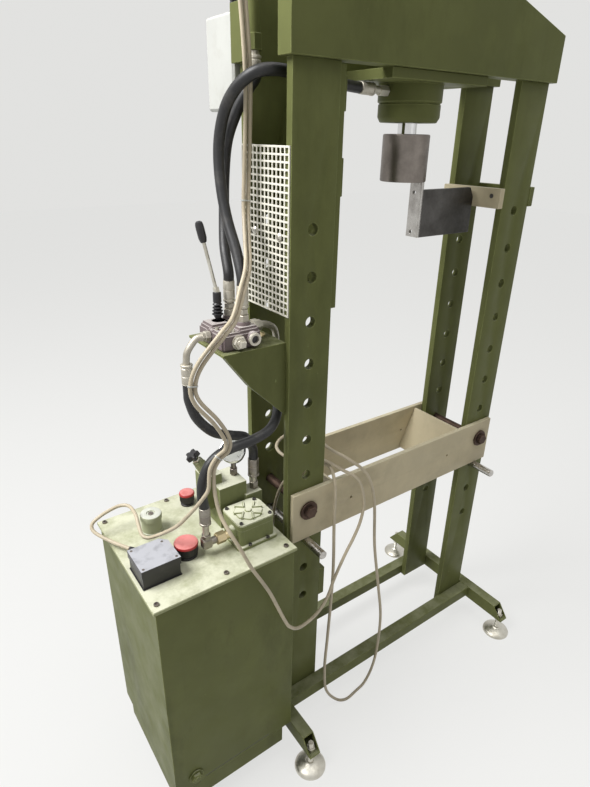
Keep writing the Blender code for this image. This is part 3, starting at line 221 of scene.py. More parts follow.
def paint(
    name, colour, worn_and_lit, gloss=(0.36, 0.54), dust_and_highlight=0.25, edge_wear_and_highlight=0.6, chips=0.35, grime=0.5,
    drawn_down=0.4, dust_and_highlight_span=(0.35, 0.7),
):
    """Sprayed enamel: mottled tone, oily grime, runs, small chips, edges lighter from rubbing and
    from painted highlight, and a pale tone on faces that look up, which is a dusting with painted
    highlight of the light from above.
    """
    look = Look(name, 0.42)
    look.fill(look.shader, {"Specular IOR Level": PAINT_SHINE})
    mottle = look.patches((2.3, 3), 0.3, 0.7)
    tone = look.mixed(mottle, shade(colour, 0.88), shade(colour, 1.1))
    pale_patches = look.patches((11, 6, 0.62), 0.45, 0.72, end=0.35)
    tone = look.mixed(pale_patches, tone, shade(colour, 1.3))
    oily = look.patches((6, 9, 0.7, (1, 1, drawn_down)), 0.5, 0.76, end=grime)
    tone = look.mixed(oily, tone, shade(colour, 0.45))
    if drawn_down < 1:
        runs = look.patches((22, 6, 0.6, (1, 1, 0.06)), 0.6, 0.85, end=grime / 2)
        tone = look.mixed(runs, tone, shade(colour, 0.55))
    # Faces that look up get a pale tone: a dusting, and painted highlight of the light from above.
    dust_and_highlight_mask = look.patches((11, 8, 0.7), *dust_and_highlight_span, end=dust_and_highlight)
    tone = look.mixed(look.times(look.facing_up(), dust_and_highlight_mask), tone, DUST_AND_HIGHLIGHT)
    tone = look.mixed(look.patches((48, 5, 0.6), 0.73, 0.75, end=chips), tone, worn_and_lit)
    # Lighter edges: bare paint from rubbing, and painted highlight along the lit edges.
    bright_edges = look.patches((19, 7, 0.7), 0.34, 0.52, end=edge_wear_and_highlight)
    tone = look.mixed(look.times(look.edges(0.0032), bright_edges), tone, worn_and_lit)
    look.bump(look.noise(5, 2), 0.12, 0.004)
    look.bump(look.noise(420, 2), 0.1, 0.0004)
    return look.finished(tone, look.patches((14, 6), 0.3, 0.7, *gloss))


def metal(
    name, colour, dark, roughness, grain=(1, 1, 1), grain_scale=120, pits=0.0, edge_shine=1.3,
    metallic=1.0,
):
    """Bare or plated metal: drawn or turned grain, darker staining and edges lighter from rubbing.
    """
    look = Look(name, sum(roughness) / 2, metallic)
    tone = look.mixed(look.patches((16, 7, 0.65), 0.35, 0.7), colour, dark)
    bright_edges = look.times(look.edges(0.0016), look.patches((40, 5), 0.35, 0.55, end=0.7))
    tone = look.mixed(bright_edges, tone, shade(colour, edge_shine))
    lines = look.noise(grain_scale, 4, 0.6, grain)
    look.bump(lines, 0.12, 0.0004)
    if pits:
        look.bump(look.noise(150, 3, 0.6), pits, 0.001)
    return look.finished(tone, look.between(lines, 0.3, 0.7, *roughness))


def moulded(
    name, colour, roughness, mottle=0.14, grain=0.08, dirt=(0.2, 0.17, 0.12), dirty=0.35,
    top=None, lit_top_share=0.8, pits=0.0,
):
    """Moulded or cast skin: fine grain, a film of dirt, and a lighter tone on faces that look up,
    which is painted highlight of the light from above, with some dusting on the casting.
    """
    look = Look(name, roughness)
    tones = shade(colour, 1 - mottle), shade(colour, 1 + mottle)
    tone = look.mixed(look.patches((9, 3), 0.3, 0.7), *tones)
    # The top colour is painted light: a highlight on the faces that look up.
    if top is not None:
        pale_patches = look.patches((38, 6, 0.6), 0.25, 0.5, 0.55 * lit_top_share, lit_top_share)
        tone = look.mixed(look.times(look.facing_up(), pale_patches), tone, top)
    tone = look.mixed(look.patches((24, 9, 0.7), 0.52, 0.78, end=dirty), tone, dirt)
    bright_edges = look.times(look.edges(0.0012), look.patches((60, 4), 0.4, 0.6, end=0.3))
    tone = look.mixed(bright_edges, tone, shade(colour, 1.8))
    look.bump(look.noise(520, 2), grain, 0.0004)
    if pits:
        look.bump(look.noise(150, 3, 0.6), pits, 0.001)
    return look.finished(tone, look.patches((40,), 0.3, 0.7, roughness * 0.85, roughness * 1.2))


OLIVE = (0.13, 0.141, 0.05)
# Colour of chips and bare edges; on the edges it is also painted highlight.
OLIVE_WORN_AND_LIT = (0.4, 0.43, 0.18)
# A lit copy of the olive paint: the lid, its strip and the relief valve's body are painted lighter
# for the light that falls on them.
OLIVE_LIT = (0.31, 0.325, 0.175)
CASTING = (0.21, 0.23, 0.105)
IVORY = (0.56, 0.49, 0.335)

GREEN = paint("green_enamel", OLIVE, OLIVE_WORN_AND_LIT)
TANK_GREEN = paint("tank_enamel", OLIVE, OLIVE_WORN_AND_LIT, dust_and_highlight=0.5, chips=0.5, grime=0.8)
GREEN_LIT = paint(
    "lit_green_enamel", OLIVE_LIT, (0.5, 0.5, 0.34), dust_and_highlight=0.8, chips=0.5, dust_and_highlight_span=(0.25, 0.55)
)
# The casting's pale tops are mostly painted highlight of the light from above.
CAST_GREEN = paint(
    "casting_enamel", CASTING, (0.5, 0.51, 0.34), dust_and_highlight=0.92, edge_wear_and_highlight=0.85, dust_and_highlight_span=(0.12, 0.42)
)
CREAM = paint(
    "cream_enamel", IVORY, (0.78, 0.74, 0.6), (0.42, 0.58), 0.3, chips=0.0, grime=0.35, drawn_down=1
)
ZINC = metal("zinc_plate", (0.7, 0.68, 0.61), (0.46, 0.43, 0.36), (0.3, 0.5))
BRASS = metal("yellow_zinc", (0.72, 0.6, 0.36), (0.5, 0.4, 0.25), (0.3, 0.5))
FERRULE = metal(
    "ferrule_steel", (0.62, 0.59, 0.51), (0.4, 0.365, 0.3), (0.38, 0.56), metallic=0.6
)
DULL_ZINC = metal(
    "dull_zinc", (0.36, 0.335, 0.29), (0.2, 0.175, 0.15), (0.36, 0.54), edge_shine=1.8
)
CHROME = metal("hard_chrome", (0.78, 0.78, 0.78), (0.62, 0.62, 0.62), (0.06, 0.14))
BRIGHT = metal("bright_steel", (0.62, 0.6, 0.57), (0.34, 0.32, 0.3), (0.22, 0.42))
TURNED = metal(
    "turned_steel", (0.27, 0.24, 0.215), (0.15, 0.13, 0.115), (0.3, 0.46), (1, 1, 14), 60
)
DARK_STEEL = metal(
    "dark_steel", (0.12, 0.115, 0.11), (0.07, 0.066, 0.062), (0.42, 0.6), edge_shine=4.0
)
RUSTY = metal(
    "rusty_bolt", (0.12, 0.08, 0.062), (0.05, 0.034, 0.028), (0.5, 0.7), pits=0.4, edge_shine=2.2
)
# CAST, BOX_LID, RED and CUP get a lighter top colour that paints the light on their tops: painted
# highlight, and on the black lid a painted reflection.
CAST = moulded(
    "valve_casting", (0.15, 0.115, 0.115), 0.5, 0.2, dirty=0.3, top=(0.52, 0.48, 0.46), pits=0.5
)
BLACK = moulded("black_plastic", (0.017, 0.016, 0.018), 0.38, dirt=(0.13, 0.12, 0.11), dirty=0.2)
BOX_LID = moulded(
    "terminal_plastic", (0.019, 0.017, 0.02), 0.36, top=(0.47, 0.475, 0.51), lit_top_share=0.92,
    dirty=0.1,
)
RUBBER = moulded(
    "hose_rubber", (0.016, 0.016, 0.017), 0.46, grain=0.3, dirt=(0.12, 0.11, 0.1), dirty=0.45
)
RED = moulded(
    "red_plastic", (0.45, 0.035, 0.035), 0.4, dirt=(0.3, 0.05, 0.05), dirty=0.4,
    top=(0.82, 0.32, 0.3),
)
WHITE = moulded("white_plastic", (0.5, 0.505, 0.475), 0.4, 0.05, dirty=0.25)
CUP = moulded(
    "breather_plastic", (0.36, 0.38, 0.25), 0.4, 0.12, dirt=(0.3, 0.3, 0.18), dirty=0.4,
    top=(0.62, 0.63, 0.57), lit_top_share=0.95,
)
GRILLE = moulded("grille_plastic", (0.74, 0.715, 0.62), 0.45, 0.05, dirty=0.3)
PVC = moulded("cable_sheath", (0.5, 0.43, 0.31), 0.42, 0.1, dirty=0.45)
DIAL = moulded("dial_card", (0.5, 0.51, 0.47), 0.16, 0.02, dirty=0.05)


# Shapes

FACING_FRONT = Matrix(((1, 0, 0, 0), (0, 0, -1, 0), (0, 1, 0, 0), (0, 0, 0, 1)))
FACING_SIDE = Matrix(((0, 0, -1, 0), (-1, 0, 0, 0), (0, 1, 0, 0), (0, 0, 0, 1)))
SHARP_DEGREES = 35
PLATE_SHARP_DEGREES = 25


def keep(obj, look, slot, *nodes, body="frame"):
    """Gives a new piece its finish and body, and hides the nodes that it stands for; the slot is
    not used.
    """
    obj.data.materials.append(look)
    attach(obj, body)
    if nodes:
        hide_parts(*nodes)
    return obj


def aimed(at, aim):
    """The turn and place that lay local Z along aim."""
    turn = Vector(aim).to_track_quat("Z", "Y").to_matrix().to_4x4()
    return Matrix.Translation(Vector(at)) @ turn


def circle(radius, count, phase=0.0):
    angles = [2 * math.pi * (i + phase) / count for i in range(count)]
    return [Vector((radius * math.cos(a), radius * math.sin(a), 0)) for a in angles]


def rectangle(left, foot, right, head):
    return [(left, foot), (right, foot), (right, head), (left, head)]


def rounded_outline(half_x, half_y, radii, steps=6):
    """A rectangle round the origin with rounded corners, from the +X +Y corner on."""
    outline = []
    for quarter, ((x_sign, y_sign), radius) in enumerate(zip(SIGNS, radii)):
        for i in range(steps + 1):
            angle = math.radians(90 * (quarter + i / steps))
            x = x_sign * (half_x - radius) + radius * math.cos(angle)
            outline.append((x, y_sign * (half_y - radius) + radius * math.sin(angle)))
    return outline


class Form:
    """A piece in the making: each call adds a solid to its mesh, and keep() makes the object."""

    def __init__(self):
        self.mesh = bmesh.new()
        self.sharp_degrees = SHARP_DEGREES

    def skin(self, rings, closed=False):
        """Adds a skin over rings of points. An end of more than one point gets a face."""
        rings = [[self.mesh.verts.new(point) for point in ring] for ring in rings]
        count = max(len(ring) for ring in rings)
        for ring, after in zip(rings, rings[1:] + rings[:1] if closed else rings[1:]):
            for i in range(count):
                j = (i + 1) % count
                corners = [ring[i % len(ring)], ring[j % len(ring)]]
                corners += [after[j % len(after)], after[i % len(after)]]
                unique = list(dict.fromkeys(corners))
                if len(unique) > 2:
                    self.mesh.faces.new(unique)
        for ring in () if closed else (rings[0], rings[-1]):
            if len(ring) > 1:
                self.mesh.faces.new(ring)
        return self

    def turned(self, profile, matrix, steps=40, phase=0.0):
        """Adds a turned solid: a profile of (radius, height), which is closed to the axis."""
        if profile[0][0]:
            profile = [(0, profile[0][1]), *profile]
        if profile[-1][0]:
            profile = [*profile, (0, profile[-1][1])]
        rings = []
        for radius, height in profile:
            ring = circle(radius, steps, phase) if radius else [Vector((0, 0, 0))]
            rings.append([matrix @ (point + UP * height) for point in ring])
        return self.skin(rings)

    def prism(self, outline, at, low, high, scale=1.0):
        """Adds an upright prism on an outline round a middle point."""
        rings = []
        for height in (low, high):
            rings.append([at + Vector((x * scale, y * scale, height)) for x, y in outline])
        return self.skin(rings)

    def box(self, low, high, edge=0.0, segments=2):
        """Adds a box with rounded edges."""
        low, high = Vector(low), Vector(high)
        made = bmesh.ops.create_cube(self.mesh, size=1.0)["verts"]
        bmesh.ops.scale(self.mesh, verts=made, vec=high - low)
        bmesh.ops.translate(self.mesh, verts=made, vec=(low + high) / 2)
        if edge:
            edges = list({e for v in made for e in v.link_edges})
            bmesh.ops.bevel(
                self.mesh, geom=edges, offset=edge, segments=segments, affect="EDGES"
            )

    def plate(self, outline, holes, thick, matrix, edge):
        """Adds a flat plate with rounded edges, drawn in local XY and thick along local Z.

        Each hole is (x, y, radius), or a list of corners.
        """
        curve = bpy.data.curves.new("plate", "CURVE")
        curve.dimensions = "2D"
        curve.fill_mode = "BOTH"
        curve.extrude = thick / 2 - edge
        curve.bevel_depth = edge
        curve.bevel_resolution = 1
        curve.offset = -edge
        for loop in (outline, *holes):
            if not isinstance(loop, list):
                x, y, radius = loop
                loop = [(x + point.x, y + point.y) for point in circle(radius, 36)]
            spline = curve.splines.new("POLY")
            spline.points.add(len(loop) - 1)
            spline.use_cyclic_u = True
            for point, (x, y) in zip(spline.points, loop):
                point.co = (x, y, 0, 1)
        maker = add_object("plate", curve)
        bpy.context.view_layer.update()
        self.mesh.from_mesh(bpy.data.meshes.new_from_object(maker))
        bpy.data.objects.remove(maker)
        bmesh.ops.remove_doubles(self.mesh, verts=self.mesh.verts, dist=MERGED)
        bmesh.ops.transform(self.mesh, matrix=matrix, verts=self.mesh.verts)
        self.sharp_degrees = PLATE_SHARP_DEGREES
        return self

    def nut(self, across, thick, matrix, start=0.0):
        """Adds a hexagon with chamfered corners, as on a nut or bolt head."""
        corner = across / math.sqrt(3)
        chamfer = across * 0.035
        profile = [(corner - chamfer, start), (corner, start + chamfer)]
        profile += [(corner, start + thick - chamfer), (corner - chamfer, start + thick)]
        return self.turned(profile, matrix, 6)

    def thread(self, radius, start, end, matrix, pitch=0.0017):
        """Adds a screw's outside as close ridges."""
        turns = max(2, int((end - start) / pitch))
        step = (end - start) / turns
        profile = []
        for i in range(turns):
            low = start + i * step
            profile += [(radius * 0.9, low), (radius, low + step / 2)]
        self.turned([*profile, (radius * 0.9, end)], matrix, 24)

    def cap_screw(self, at, radius=0.0062, tall=0.0045):
        """Adds a round screw head with a sunk socket."""
        profile = [(radius, 0), (radius, tall * 0.75), (radius * 0.85, tall)]
        profile += [(radius * 0.5, tall), (radius * 0.45, tall * 0.4)]
        self.turned(profile, aimed(at, UP), 24)

    def union(self, start, end, across):
        """Adds a hexagon union nut between two points."""
        self.nut(across, (end - start).length, aimed(start, end - start))

    def neck(self, start, end, radius):
        """Adds a plain round neck between two points."""
        length = (end - start).length
        self.turned([(radius, 0), (radius, length)], aimed(start, end - start), 24)

    def made(self, name):
        """The object, smooth but for its sharp edges."""
        data = bpy.data.meshes.new(name)
        bmesh.ops.recalc_face_normals(self.mesh, faces=self.mesh.faces)
        self.mesh.to_mesh(data)
        self.mesh.free()
        data.set_sharp_from_angle(angle=math.radians(self.sharp_degrees))
        for face in data.polygons:
            face.use_smooth = True
        return add_object(name, data)

    def keep(self, name, look, slot, *nodes, body="frame"):
        return keep(self.made(name), look, slot, *nodes, body=body)


def smooth_path(points, pieces=2):
    """Rounds a given route: a Catmull-Rom curve through all of its points."""
    places = [Vector(point) for point in points]
    padded = [places[0] * 2 - places[1], *places, places[-1] * 2 - places[-2]]
    route = []
    for i in range(1, len(padded) - 2):
        before, here, there, after = padded[i - 1 : i + 3]
        slope = there - before
        sag = before * 2 - here * 5 + there * 4 - after
        twist = here * 3 - before - there * 3 + after
        for step in range(pieces):
            t = step / pieces
            route.append(0.5 * (here * 2 + slope * t + sag * t * t + twist * t * t * t))
    route.append(places[-1])
    return route


def wire(name, points, radius, sides=5):
    """A round tube along a route of points."""
    curve = bpy.data.curves.new(name, "CURVE")
    curve.dimensions = "3D"
    curve.bevel_depth = radius
    curve.bevel_resolution = sides
    curve.use_fill_caps = True
    spline = curve.splines.new("POLY")
    spline.points.add(len(points) - 1)
    for point, at in zip(spline.points, points):
        point.co = (*at, 1)
        point.radius = 1
    spline.use_smooth = True
    return add_object(name, curve)


# Cords

CABLE_RADIUS = 0.0045
CABLE_APART = 0.0058
TIE_SPOTS = (6, 8, 15, 20)
TIE_WIDTH = 0.003
TIE_THICK = 0.0012
RELIEF_LENGTH = 0.034
RELIEF_RIBS = 7
ARCH_POINTS = 5

# The routes are listed as in the part's source, and measured as place() does.
CABLE_WAY = [
    (0.03, 0.265, 1.9575), (0.03, 0.265, 2.01), (0.012, 0.235, 2.045), (-0.025, 0.18, 2.062),
    (-0.038, 0.13, 2.03), (-0.036, 0.118, 1.95), (-0.033, 0.11, 1.83), (-0.03, 0.122, 1.7),
    (-0.034, 0.126, 1.59), (-0.05, 0.098, 1.527), (-0.08, 0.046, 1.465), (-0.108, 0.024, 1.42),
    (-0.142, 0, 1.37), (-0.184, -0.02, 1.345), (-0.237, -0.02, 1.292), (-0.257, -0.022, 1.25),
    (-0.251, -0.026, 1.212), (-0.212, -0.03, 1.157), (-0.187, -0.03, 1.108),
    (-0.188, -0.03, 1.08), (-0.21, -0.03, 1.066), (-0.226, -0.03, 1.045),
    (-0.231, -0.032, 1.025),
]
MOTOR_ROUTE = [
    (-0.242, -0.036, 0.998), (-0.256, -0.034, 0.977), (-0.282, -0.015, 0.934),
    (-0.305, 0.025, 0.88), (-0.343, 0.08, 0.832), (-0.359, 0.1, 0.829), (-0.357, 0.13, 0.838),
    (-0.351, 0.165, 0.85), (-0.353, 0.204, 0.852), (-0.371, 0.222, 0.85), (-0.398, 0.223, 0.846),
    (-0.424, 0.22, 0.84), (-0.446, 0.219, 0.826), (-0.447, 0.204, 0.812), (-0.425, 0.166, 0.802),
    (-0.398, 0.115, 0.802), (-0.386, 0.092, TERMINAL_ENTRY_Z), (-0.384, 0.0735, TERMINAL_ENTRY_Z),
]
SUPPLY_ROUTE = [
    (-0.229, -0.042, 0.98), (-0.227, -0.06, 0.935), (-0.219, -0.085, 0.9),
    (-0.203, -0.104, 0.857), (-0.184, -0.12, 0.804), (-0.158, -0.128, 0.75),
    (-0.135, -0.128, 0.7), (-0.094, -0.128, 0.592), (-0.072, -0.124, 0.55),
    (-0.036, -0.118, 0.522), (0.03, -0.105, 0.52), (0.078, -0.09, 0.54), (0.11, -0.08, 0.586),
    (0.152, -0.072, 0.646), (0.188, -0.066, 0.69), (0.215, -0.06, 0.735), (0.228, -0.052, 0.79),
    (0.206, -0.045, 0.863), (0.168, -0.02, 0.895), (0.14, 0.012, 0.914), (0.112, 0.042, 0.922),
    (0.075, 0.06, 0.925), (0.045, 0.085, 0.93), (0.045, 0.12, 0.942), (0.08, 0.135, 0.955),
    (0.118, 0.11, 0.962), (0.14, 0.06, 0.96), (0.15, 0.01, 0.95), (0.185, -0.03, 0.925),
    (0.24, -0.045, 0.866), (0.277, -0.045, 0.76), (0.29, -0.05, 0.6), (0.318, -0.055, 0.43),
    (0.343, -0.056, 0.285), (0.342, -0.057, 0.145), (0.325, -0.059, 0.06), (0.29, -0.063, 0.012),
    (0.25, -0.068, 0.006), (0.2, -0.073, 0.006), (0.165, -0.062, 0.02), (0.124, -0.056, 0.09),
    (0.113, -0.055, 0.195), (0.118, -0.055, 0.327), (0.128, -0.05, 0.466),
    (0.134, -0.045, 0.596), (0.132, -0.04, 0.744), (0.134, -0.035, 0.845),
    (0.142, -0.012, 0.889), (0.142, 0.015, 0.902), (0.118, 0.042, 0.9), (0.08, 0.055, 0.885),
    (0.04, 0.075, 0.85), (0.026, 0.1, 0.76), (0.024, 0.12, 0.6), (0.016, 0.13, 0.45),
    (-0.02, 0.15, 0.375), (-0.028, 0.245, 0.305), (-0.038, 0.292, 0.24), (-0.072, 0.305, 0.12),
    (-0.092, 0.315, 0.035), (-0.125, 0.325, 0.006), (-0.16, 0.331, 0.006), (-0.19, 0.33, 0.012),
    (-0.22, 0.326, 0.0242), (-0.25, 0.326, 0.0242),
]


def cable_start(turn):
    """The way both cables share, side by side, from the cabinet down to the tank."""
    places = [place(*point) for point in CABLE_WAY]
    route = []
    for i, point in enumerate(places):
        along = places[min(i + 1, len(places) - 1)] - places[max(i - 1, 0)]
        across = RIGHT if i < ARCH_POINTS else Vector((-along.z, 0, along.x)).normalized()
        route.append(point + across * turn * CABLE_APART)
    return route


SLEEVE_RIBS = 5
PLUG_PINS = 5


def supply_plug():
    """A round five-pin plug with a ribbed sleeve, on the end of the supply lead."""
    low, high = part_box("supply_plug")
    matrix = aimed((high.x, (low.y + high.y) / 2, (low.z + high.z) / 2), (-1, 0, 0))
    profile = [(0.0065, 0)]
    for i in range(SLEEVE_RIBS):
        profile += [(0.0075, 0.003 + i * 0.004), (0.0066, 0.005 + i * 0.004)]
    profile += [(0.009, 0.023), (0.014, 0.027), (0.0195, 0.034), (0.0215, 0.04), (0.0215, 0.05)]
    profile += [(0.0205, 0.051), (0.0205, 0.083), (0.0235, 0.086), (0.0238, 0.0965)]
    profile += [(0.0225, 0.097), (0.0205, 0.096), (0.02, 0.088)]
    form = Form().turned(profile, matrix)
    for spot in circle(0.012, PLUG_PINS):
        pin = [(0.0025, -0.002), (0.0025, 0.007), (0, 0.0085)]
        form.turned(pin, aimed(matrix @ (spot + UP * 0.088), (-1, 0, 0)), 12)
    return form.keep("plug", RED, "red_plastic", "supply_plug")


def add_cord(name, route, node):
    lead = keep(wire(name, route, CABLE_RADIUS), PVC, "beige_cable", node)


def make_cords():
    plug = supply_plug()
    supply = smooth_path(cable_start(1) + [place(*point) for point in SUPPLY_ROUTE], 6)
    for point in supply:
        point.z = max(point.z, CABLE_RADIUS + GAP)
    add_cord("supply_lead", supply, "supply_cord")
    motor = smooth_path(cable_start(-1) + [place(*point) for point in MOTOR_ROUTE], 6)
    add_cord("motor_lead", motor, "motor_cable")
    for i, spot in enumerate(TIE_SPOTS):
        cable_tie(f"cable_tie_{i}", spot)
    strain_relief("supply_sleeve", supply)
    strain_relief("motor_sleeve", motor)
    strain_relief("terminal_sleeve", motor[::-1])
    middle = place(*CABLE_WAY[0])
    middle.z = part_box("control_cabinet")[1].z + GAP
    outline = rounded_outline(0.0135, 0.0075, [0.004] * 4)
    entry = Form().prism(outline, middle, 0, 0.006)
    entry.prism(outline, middle, 0.0058, 0.0075, 0.92)
    entry.keep("cabinet_entry", BLACK, "black_plastic")


def strain_relief(name, route):
    """A ribbed, tapered rubber sleeve that follows a cable out of its housing."""
    gone = 0.0
    step = RELIEF_LENGTH / (RELIEF_RIBS * 2)
    spots = [route[0]]
    for here, there in zip(route, route[1:]):
        length = (there - here).length
        while len(spots) * step <= gone + length and len(spots) <= RELIEF_RIBS * 2:
            spots.append(here.lerp(there, (len(spots) * step - gone) / length))
        gone += length
    form = Form()
    for i, (here, there) in enumerate(zip(spots, spots[1:])):
        radius = CABLE_RADIUS + (0.0012 if i % 2 else 0.0007) * (1 - 0.5 * i / len(spots))
        long = (there - here).length
        ring = [(radius - 0.0002, 0), (radius, long / 2), (radius - 0.0002, long)]
        form.turned(ring, aimed(here, there - here), 20)
    form.keep(name, BLACK, "black_plastic")


def cable_tie(name, spot):
    """A strap round both cables."""
    lefts, rights = cable_start(-1), cable_start(1)
    across = (rights[spot] - lefts[spot]).normalized()
    after = rights[spot + 1] - rights[spot - 1]
    along = (after - across * after.dot(across)).normalized()
    turn = Matrix((across, along.cross(across), along)).transposed().to_4x4()
    matrix = Matrix.Translation((lefts[spot] + rights[spot]) / 2) @ turn
    inner = CABLE_RADIUS + 0.0002
    outer = inner + TIE_THICK
    rings = []
    for radius, side in ((inner, -1), (inner, 1), (outer, 1), (outer, -1)):
        ring = []
        for point in circle(radius, 40):
            shift = CABLE_APART if point.x > 0 else -CABLE_APART
            ring.append(matrix @ (point + Vector((shift, 0, side * TIE_WIDTH / 2))))
        rings.append(ring)
    Form().skin(rings, closed=True).keep(name, WHITE, "white_plastic")


# Carried-over nodes

PLAIN_NODES = {
    GREEN: (
        "cylinder_mount_plate", "base_rail_front", "base_rail_rear", "foot_tube_left",
        "foot_tube_right", "crosshead_front", "crosshead_rear", "inner_side_plate",
        "arm_clamp_outer", "tank_clamp_plate", "valve_bracket",
    ),
    TANK_GREEN: ("tank_body", "tank_hanger"),
    # The lid is painted in the lit copy of the olive.
    GREEN_LIT: ("tank_lid",),
    CAST_GREEN: ("manifold_block",),
    CREAM: ("bed_end_plate_left", "bed_end_plate_right", "arm_clamp_inner"),
    WHITE: ("control_cabinet",),
    DARK_STEEL: ("tank_motor_pump",),
    BLACK: ("terminal_box",),
}
SOFTENED = 0.0016


def coat(node, look):
    node.data.materials.clear()
    node.data.materials.append(look)


def finish_plain_nodes():
    for look, names in PLAIN_NODES.items():
        for name in names:
            node = NODES[name]
            coat(node, look)
            node.modifiers.new("weld", "WELD").merge_threshold = MERGED
            edge = node.modifiers.new("edges", "BEVEL")
            edge.width = SOFTENED
            edge.segments = 2
            edge.limit_method = "ANGLE"
            edge.angle_limit = math.radians(40)
            edge.harden_normals = True


# Frame

HOLE_RADIUS = 0.0135
HOLE_PITCH = 0.105
HOLE_LOWEST = 0.4875
HOLE_ROWS = 11


def drilled_flat(node, name, holes, edge, look, slot):
    """A plate that stands across the press, drilled from front to back."""
    low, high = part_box(node)
    half_width = (high.x - low.x) / 2
    middle = Vector(((low.x + high.x) / 2, (low.y + high.y) / 2, 0))
    matrix = Matrix.Translation(middle) @ FACING_FRONT
    outline = rectangle(-half_width, low.z, half_width, high.z)
    form = Form().plate(outline, holes, high.y - low.y, matrix, edge)
    form.keep(name, look, slot, node)


def drilled_upright(name):
    holes = [(0, HOLE_LOWEST + i * HOLE_PITCH, HOLE_RADIUS) for i in range(HOLE_ROWS)]
    drilled_flat(name, name + "_bar", holes, 0.0015, GREEN, "green_paint")


def bed_side(name):
    bolt_x = sum(corner.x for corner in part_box("upright_front_right")) / 2 - PRESS_X
    bolt_z = HOLE_LOWEST + 3 * HOLE_PITCH
    peg_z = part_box(name)[1].z - 0.079
    holes = [(-bolt_x, bolt_z, HOLE_RADIUS), (bolt_x, bolt_z, HOLE_RADIUS)]
    holes += [(-0.205, peg_z, 0.0045), (0.205, peg_z, 0.0045)]
    drilled_flat(name, name + "_flat", holes, 0.001, CREAM, "cream_paint")


def bed_bolt(name):
    """A through bolt: hexagon head and washer in front, washer, nut and thread behind."""
    low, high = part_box(name)
    spot = Vector(((low.x + high.x) / 2, 0, (low.z + high.z) / 2))
    past_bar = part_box("bed_plate_rear")[1].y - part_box("upright_rear_left")[1].y
    face = abs(BAR_LOW.y - past_bar - GAP)
    back = aimed(spot, (0, 1, 0))
    form = Form().turned([(0.0125, -face - 0.004), (0.0125, face)], back, 32)
    washer = [(0.0265, 0), (0.0275, 0.001), (0.0275, 0.005), (0.0265, 0.006)]
    for matrix in (aimed(spot, (0, -1, 0)), back):
        form.turned([(radius, face + height) for radius, height in washer], matrix)
        form.nut(0.0311, 0.0125, matrix, face + 0.006)
    form.thread(0.0112, face + 0.0185, high.y, back)
    form.keep(name + "_set", RUSTY, "plain_steel", name)


def bed_pin(name):
    low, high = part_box(name)
    radius, length = (high.z - low.z) / 2, high.y - low.y
    profile = [(radius - 0.0025, 0), (radius, 0.0025)]
    profile += [(radius, length - 0.0025), (radius - 0.0025, length)]
    matrix = aimed(((low.x + high.x) / 2, low.y, (low.z + high.z) / 2), (0, 1, 0))
    Form().turned(profile, matrix, 48).keep(name + "_rod", BRIGHT, "chrome", name)


def levelling_foot(name):
    foot, disc, height = round_part(name)
    matrix = Matrix.Translation((foot.x, foot.y, 0))
    tube_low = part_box("foot_tube_left")[0].z
    dish = [(disc - 0.001, 0), (disc, 0.001), (disc, 0.005), (disc * 0.97, 0.008)]
    dish += [(disc * 0.82, 0.013), (disc * 0.6, 0.0175), (disc * 0.38, 0.021), (0.0145, 0.0225)]
    dish += [(0.0125, 0.025), (0, 0.026)]
    form = Form().turned(dish, matrix, 56)
    form.thread(0.008, 0.024, foot.z + height, matrix, 0.002)
    form.nut(0.0235, 0.012, matrix, tube_low - GAP - 0.012)
    form.nut(0.0235, 0.012, matrix, tube_low + 0.003 + 2 * GAP)
    form.keep(name + "_set", ZINC, "zinc", name)


# Cylinder


def on_axis(node, name, profile, look, slot, body="frame"):
    """A turned piece on the press's own axis, with its heights measured from the floor."""
    matrix = Matrix.Translation((PRESS_X, 0, 0))
    Form().turned(profile, matrix, 72).keep(name, look, slot, node, body=body)


def cylinder_parts():
    radius, low, high = reach_of("cylinder_barrel")
    barrel = [(0, low + 0.02), (radius - 0.013, low), (radius, low), (radius, high - 0.034)]
    barrel += [(radius - 0.0015, high - 0.033), (radius - 0.0015, high - 0.03)]
    barrel += [(radius, high - 0.029), (radius, high - 0.004), (radius - 0.004, high)]
    on_axis("cylinder_barrel", "barrel", barrel, GREEN, "green_paint")
    big, low, high = reach_of("cylinder_gland")
    small, tier = big - 0.002, high - 0.04
    gland = [(big, high), (big, tier + 0.002), (big - 0.001, tier + 0.001), (big - 0.003, tier)]
    gland += [(small - 0.0025, tier - 0.002), (small, tier - 0.004), (small, low + 0.012)]
    gland += [(small - 0.0015, low + 0.009), (small - 0.006, low + 0.001), (small - 0.008, low)]
    gland += [(0.034, low), (0.032, low + 0.004)]
    on_axis("cylinder_gland", "gland", gland, GREEN, "green_paint")
    radius, _, high = reach_of("piston_rod")
    foot = reach_of("ram_head")[2] + GAP
    chrome = [(radius - 0.002, high), (radius, high - 0.002), (radius, high - 0.055)]
    chrome += [(0.0235, high - 0.055), (0.0235, foot)]
    on_axis("piston_rod", "rod", chrome, CHROME, "chrome", "ram")
    radius, low, high = reach_of("ram_head")
    head = [(radius - 0.003, low), (radius - 0.0008, low + 0.0008), (radius, low + 0.003)]
    head += [(radius, high - 0.004), (radius - 0.001, high - 0.001), (radius - 0.004, high)]
    head += [(0.03, high), (0.029, high - 0.001)]
    on_axis("ram_head", "head", head, TURNED, "turned_steel", "ram")


# Guards and clamps

GRILLE_COLUMNS = 12
GRILLE_ROWS = 24
GRILLE_BAR = 0.0042
GRILLE_RIM = 0.0045


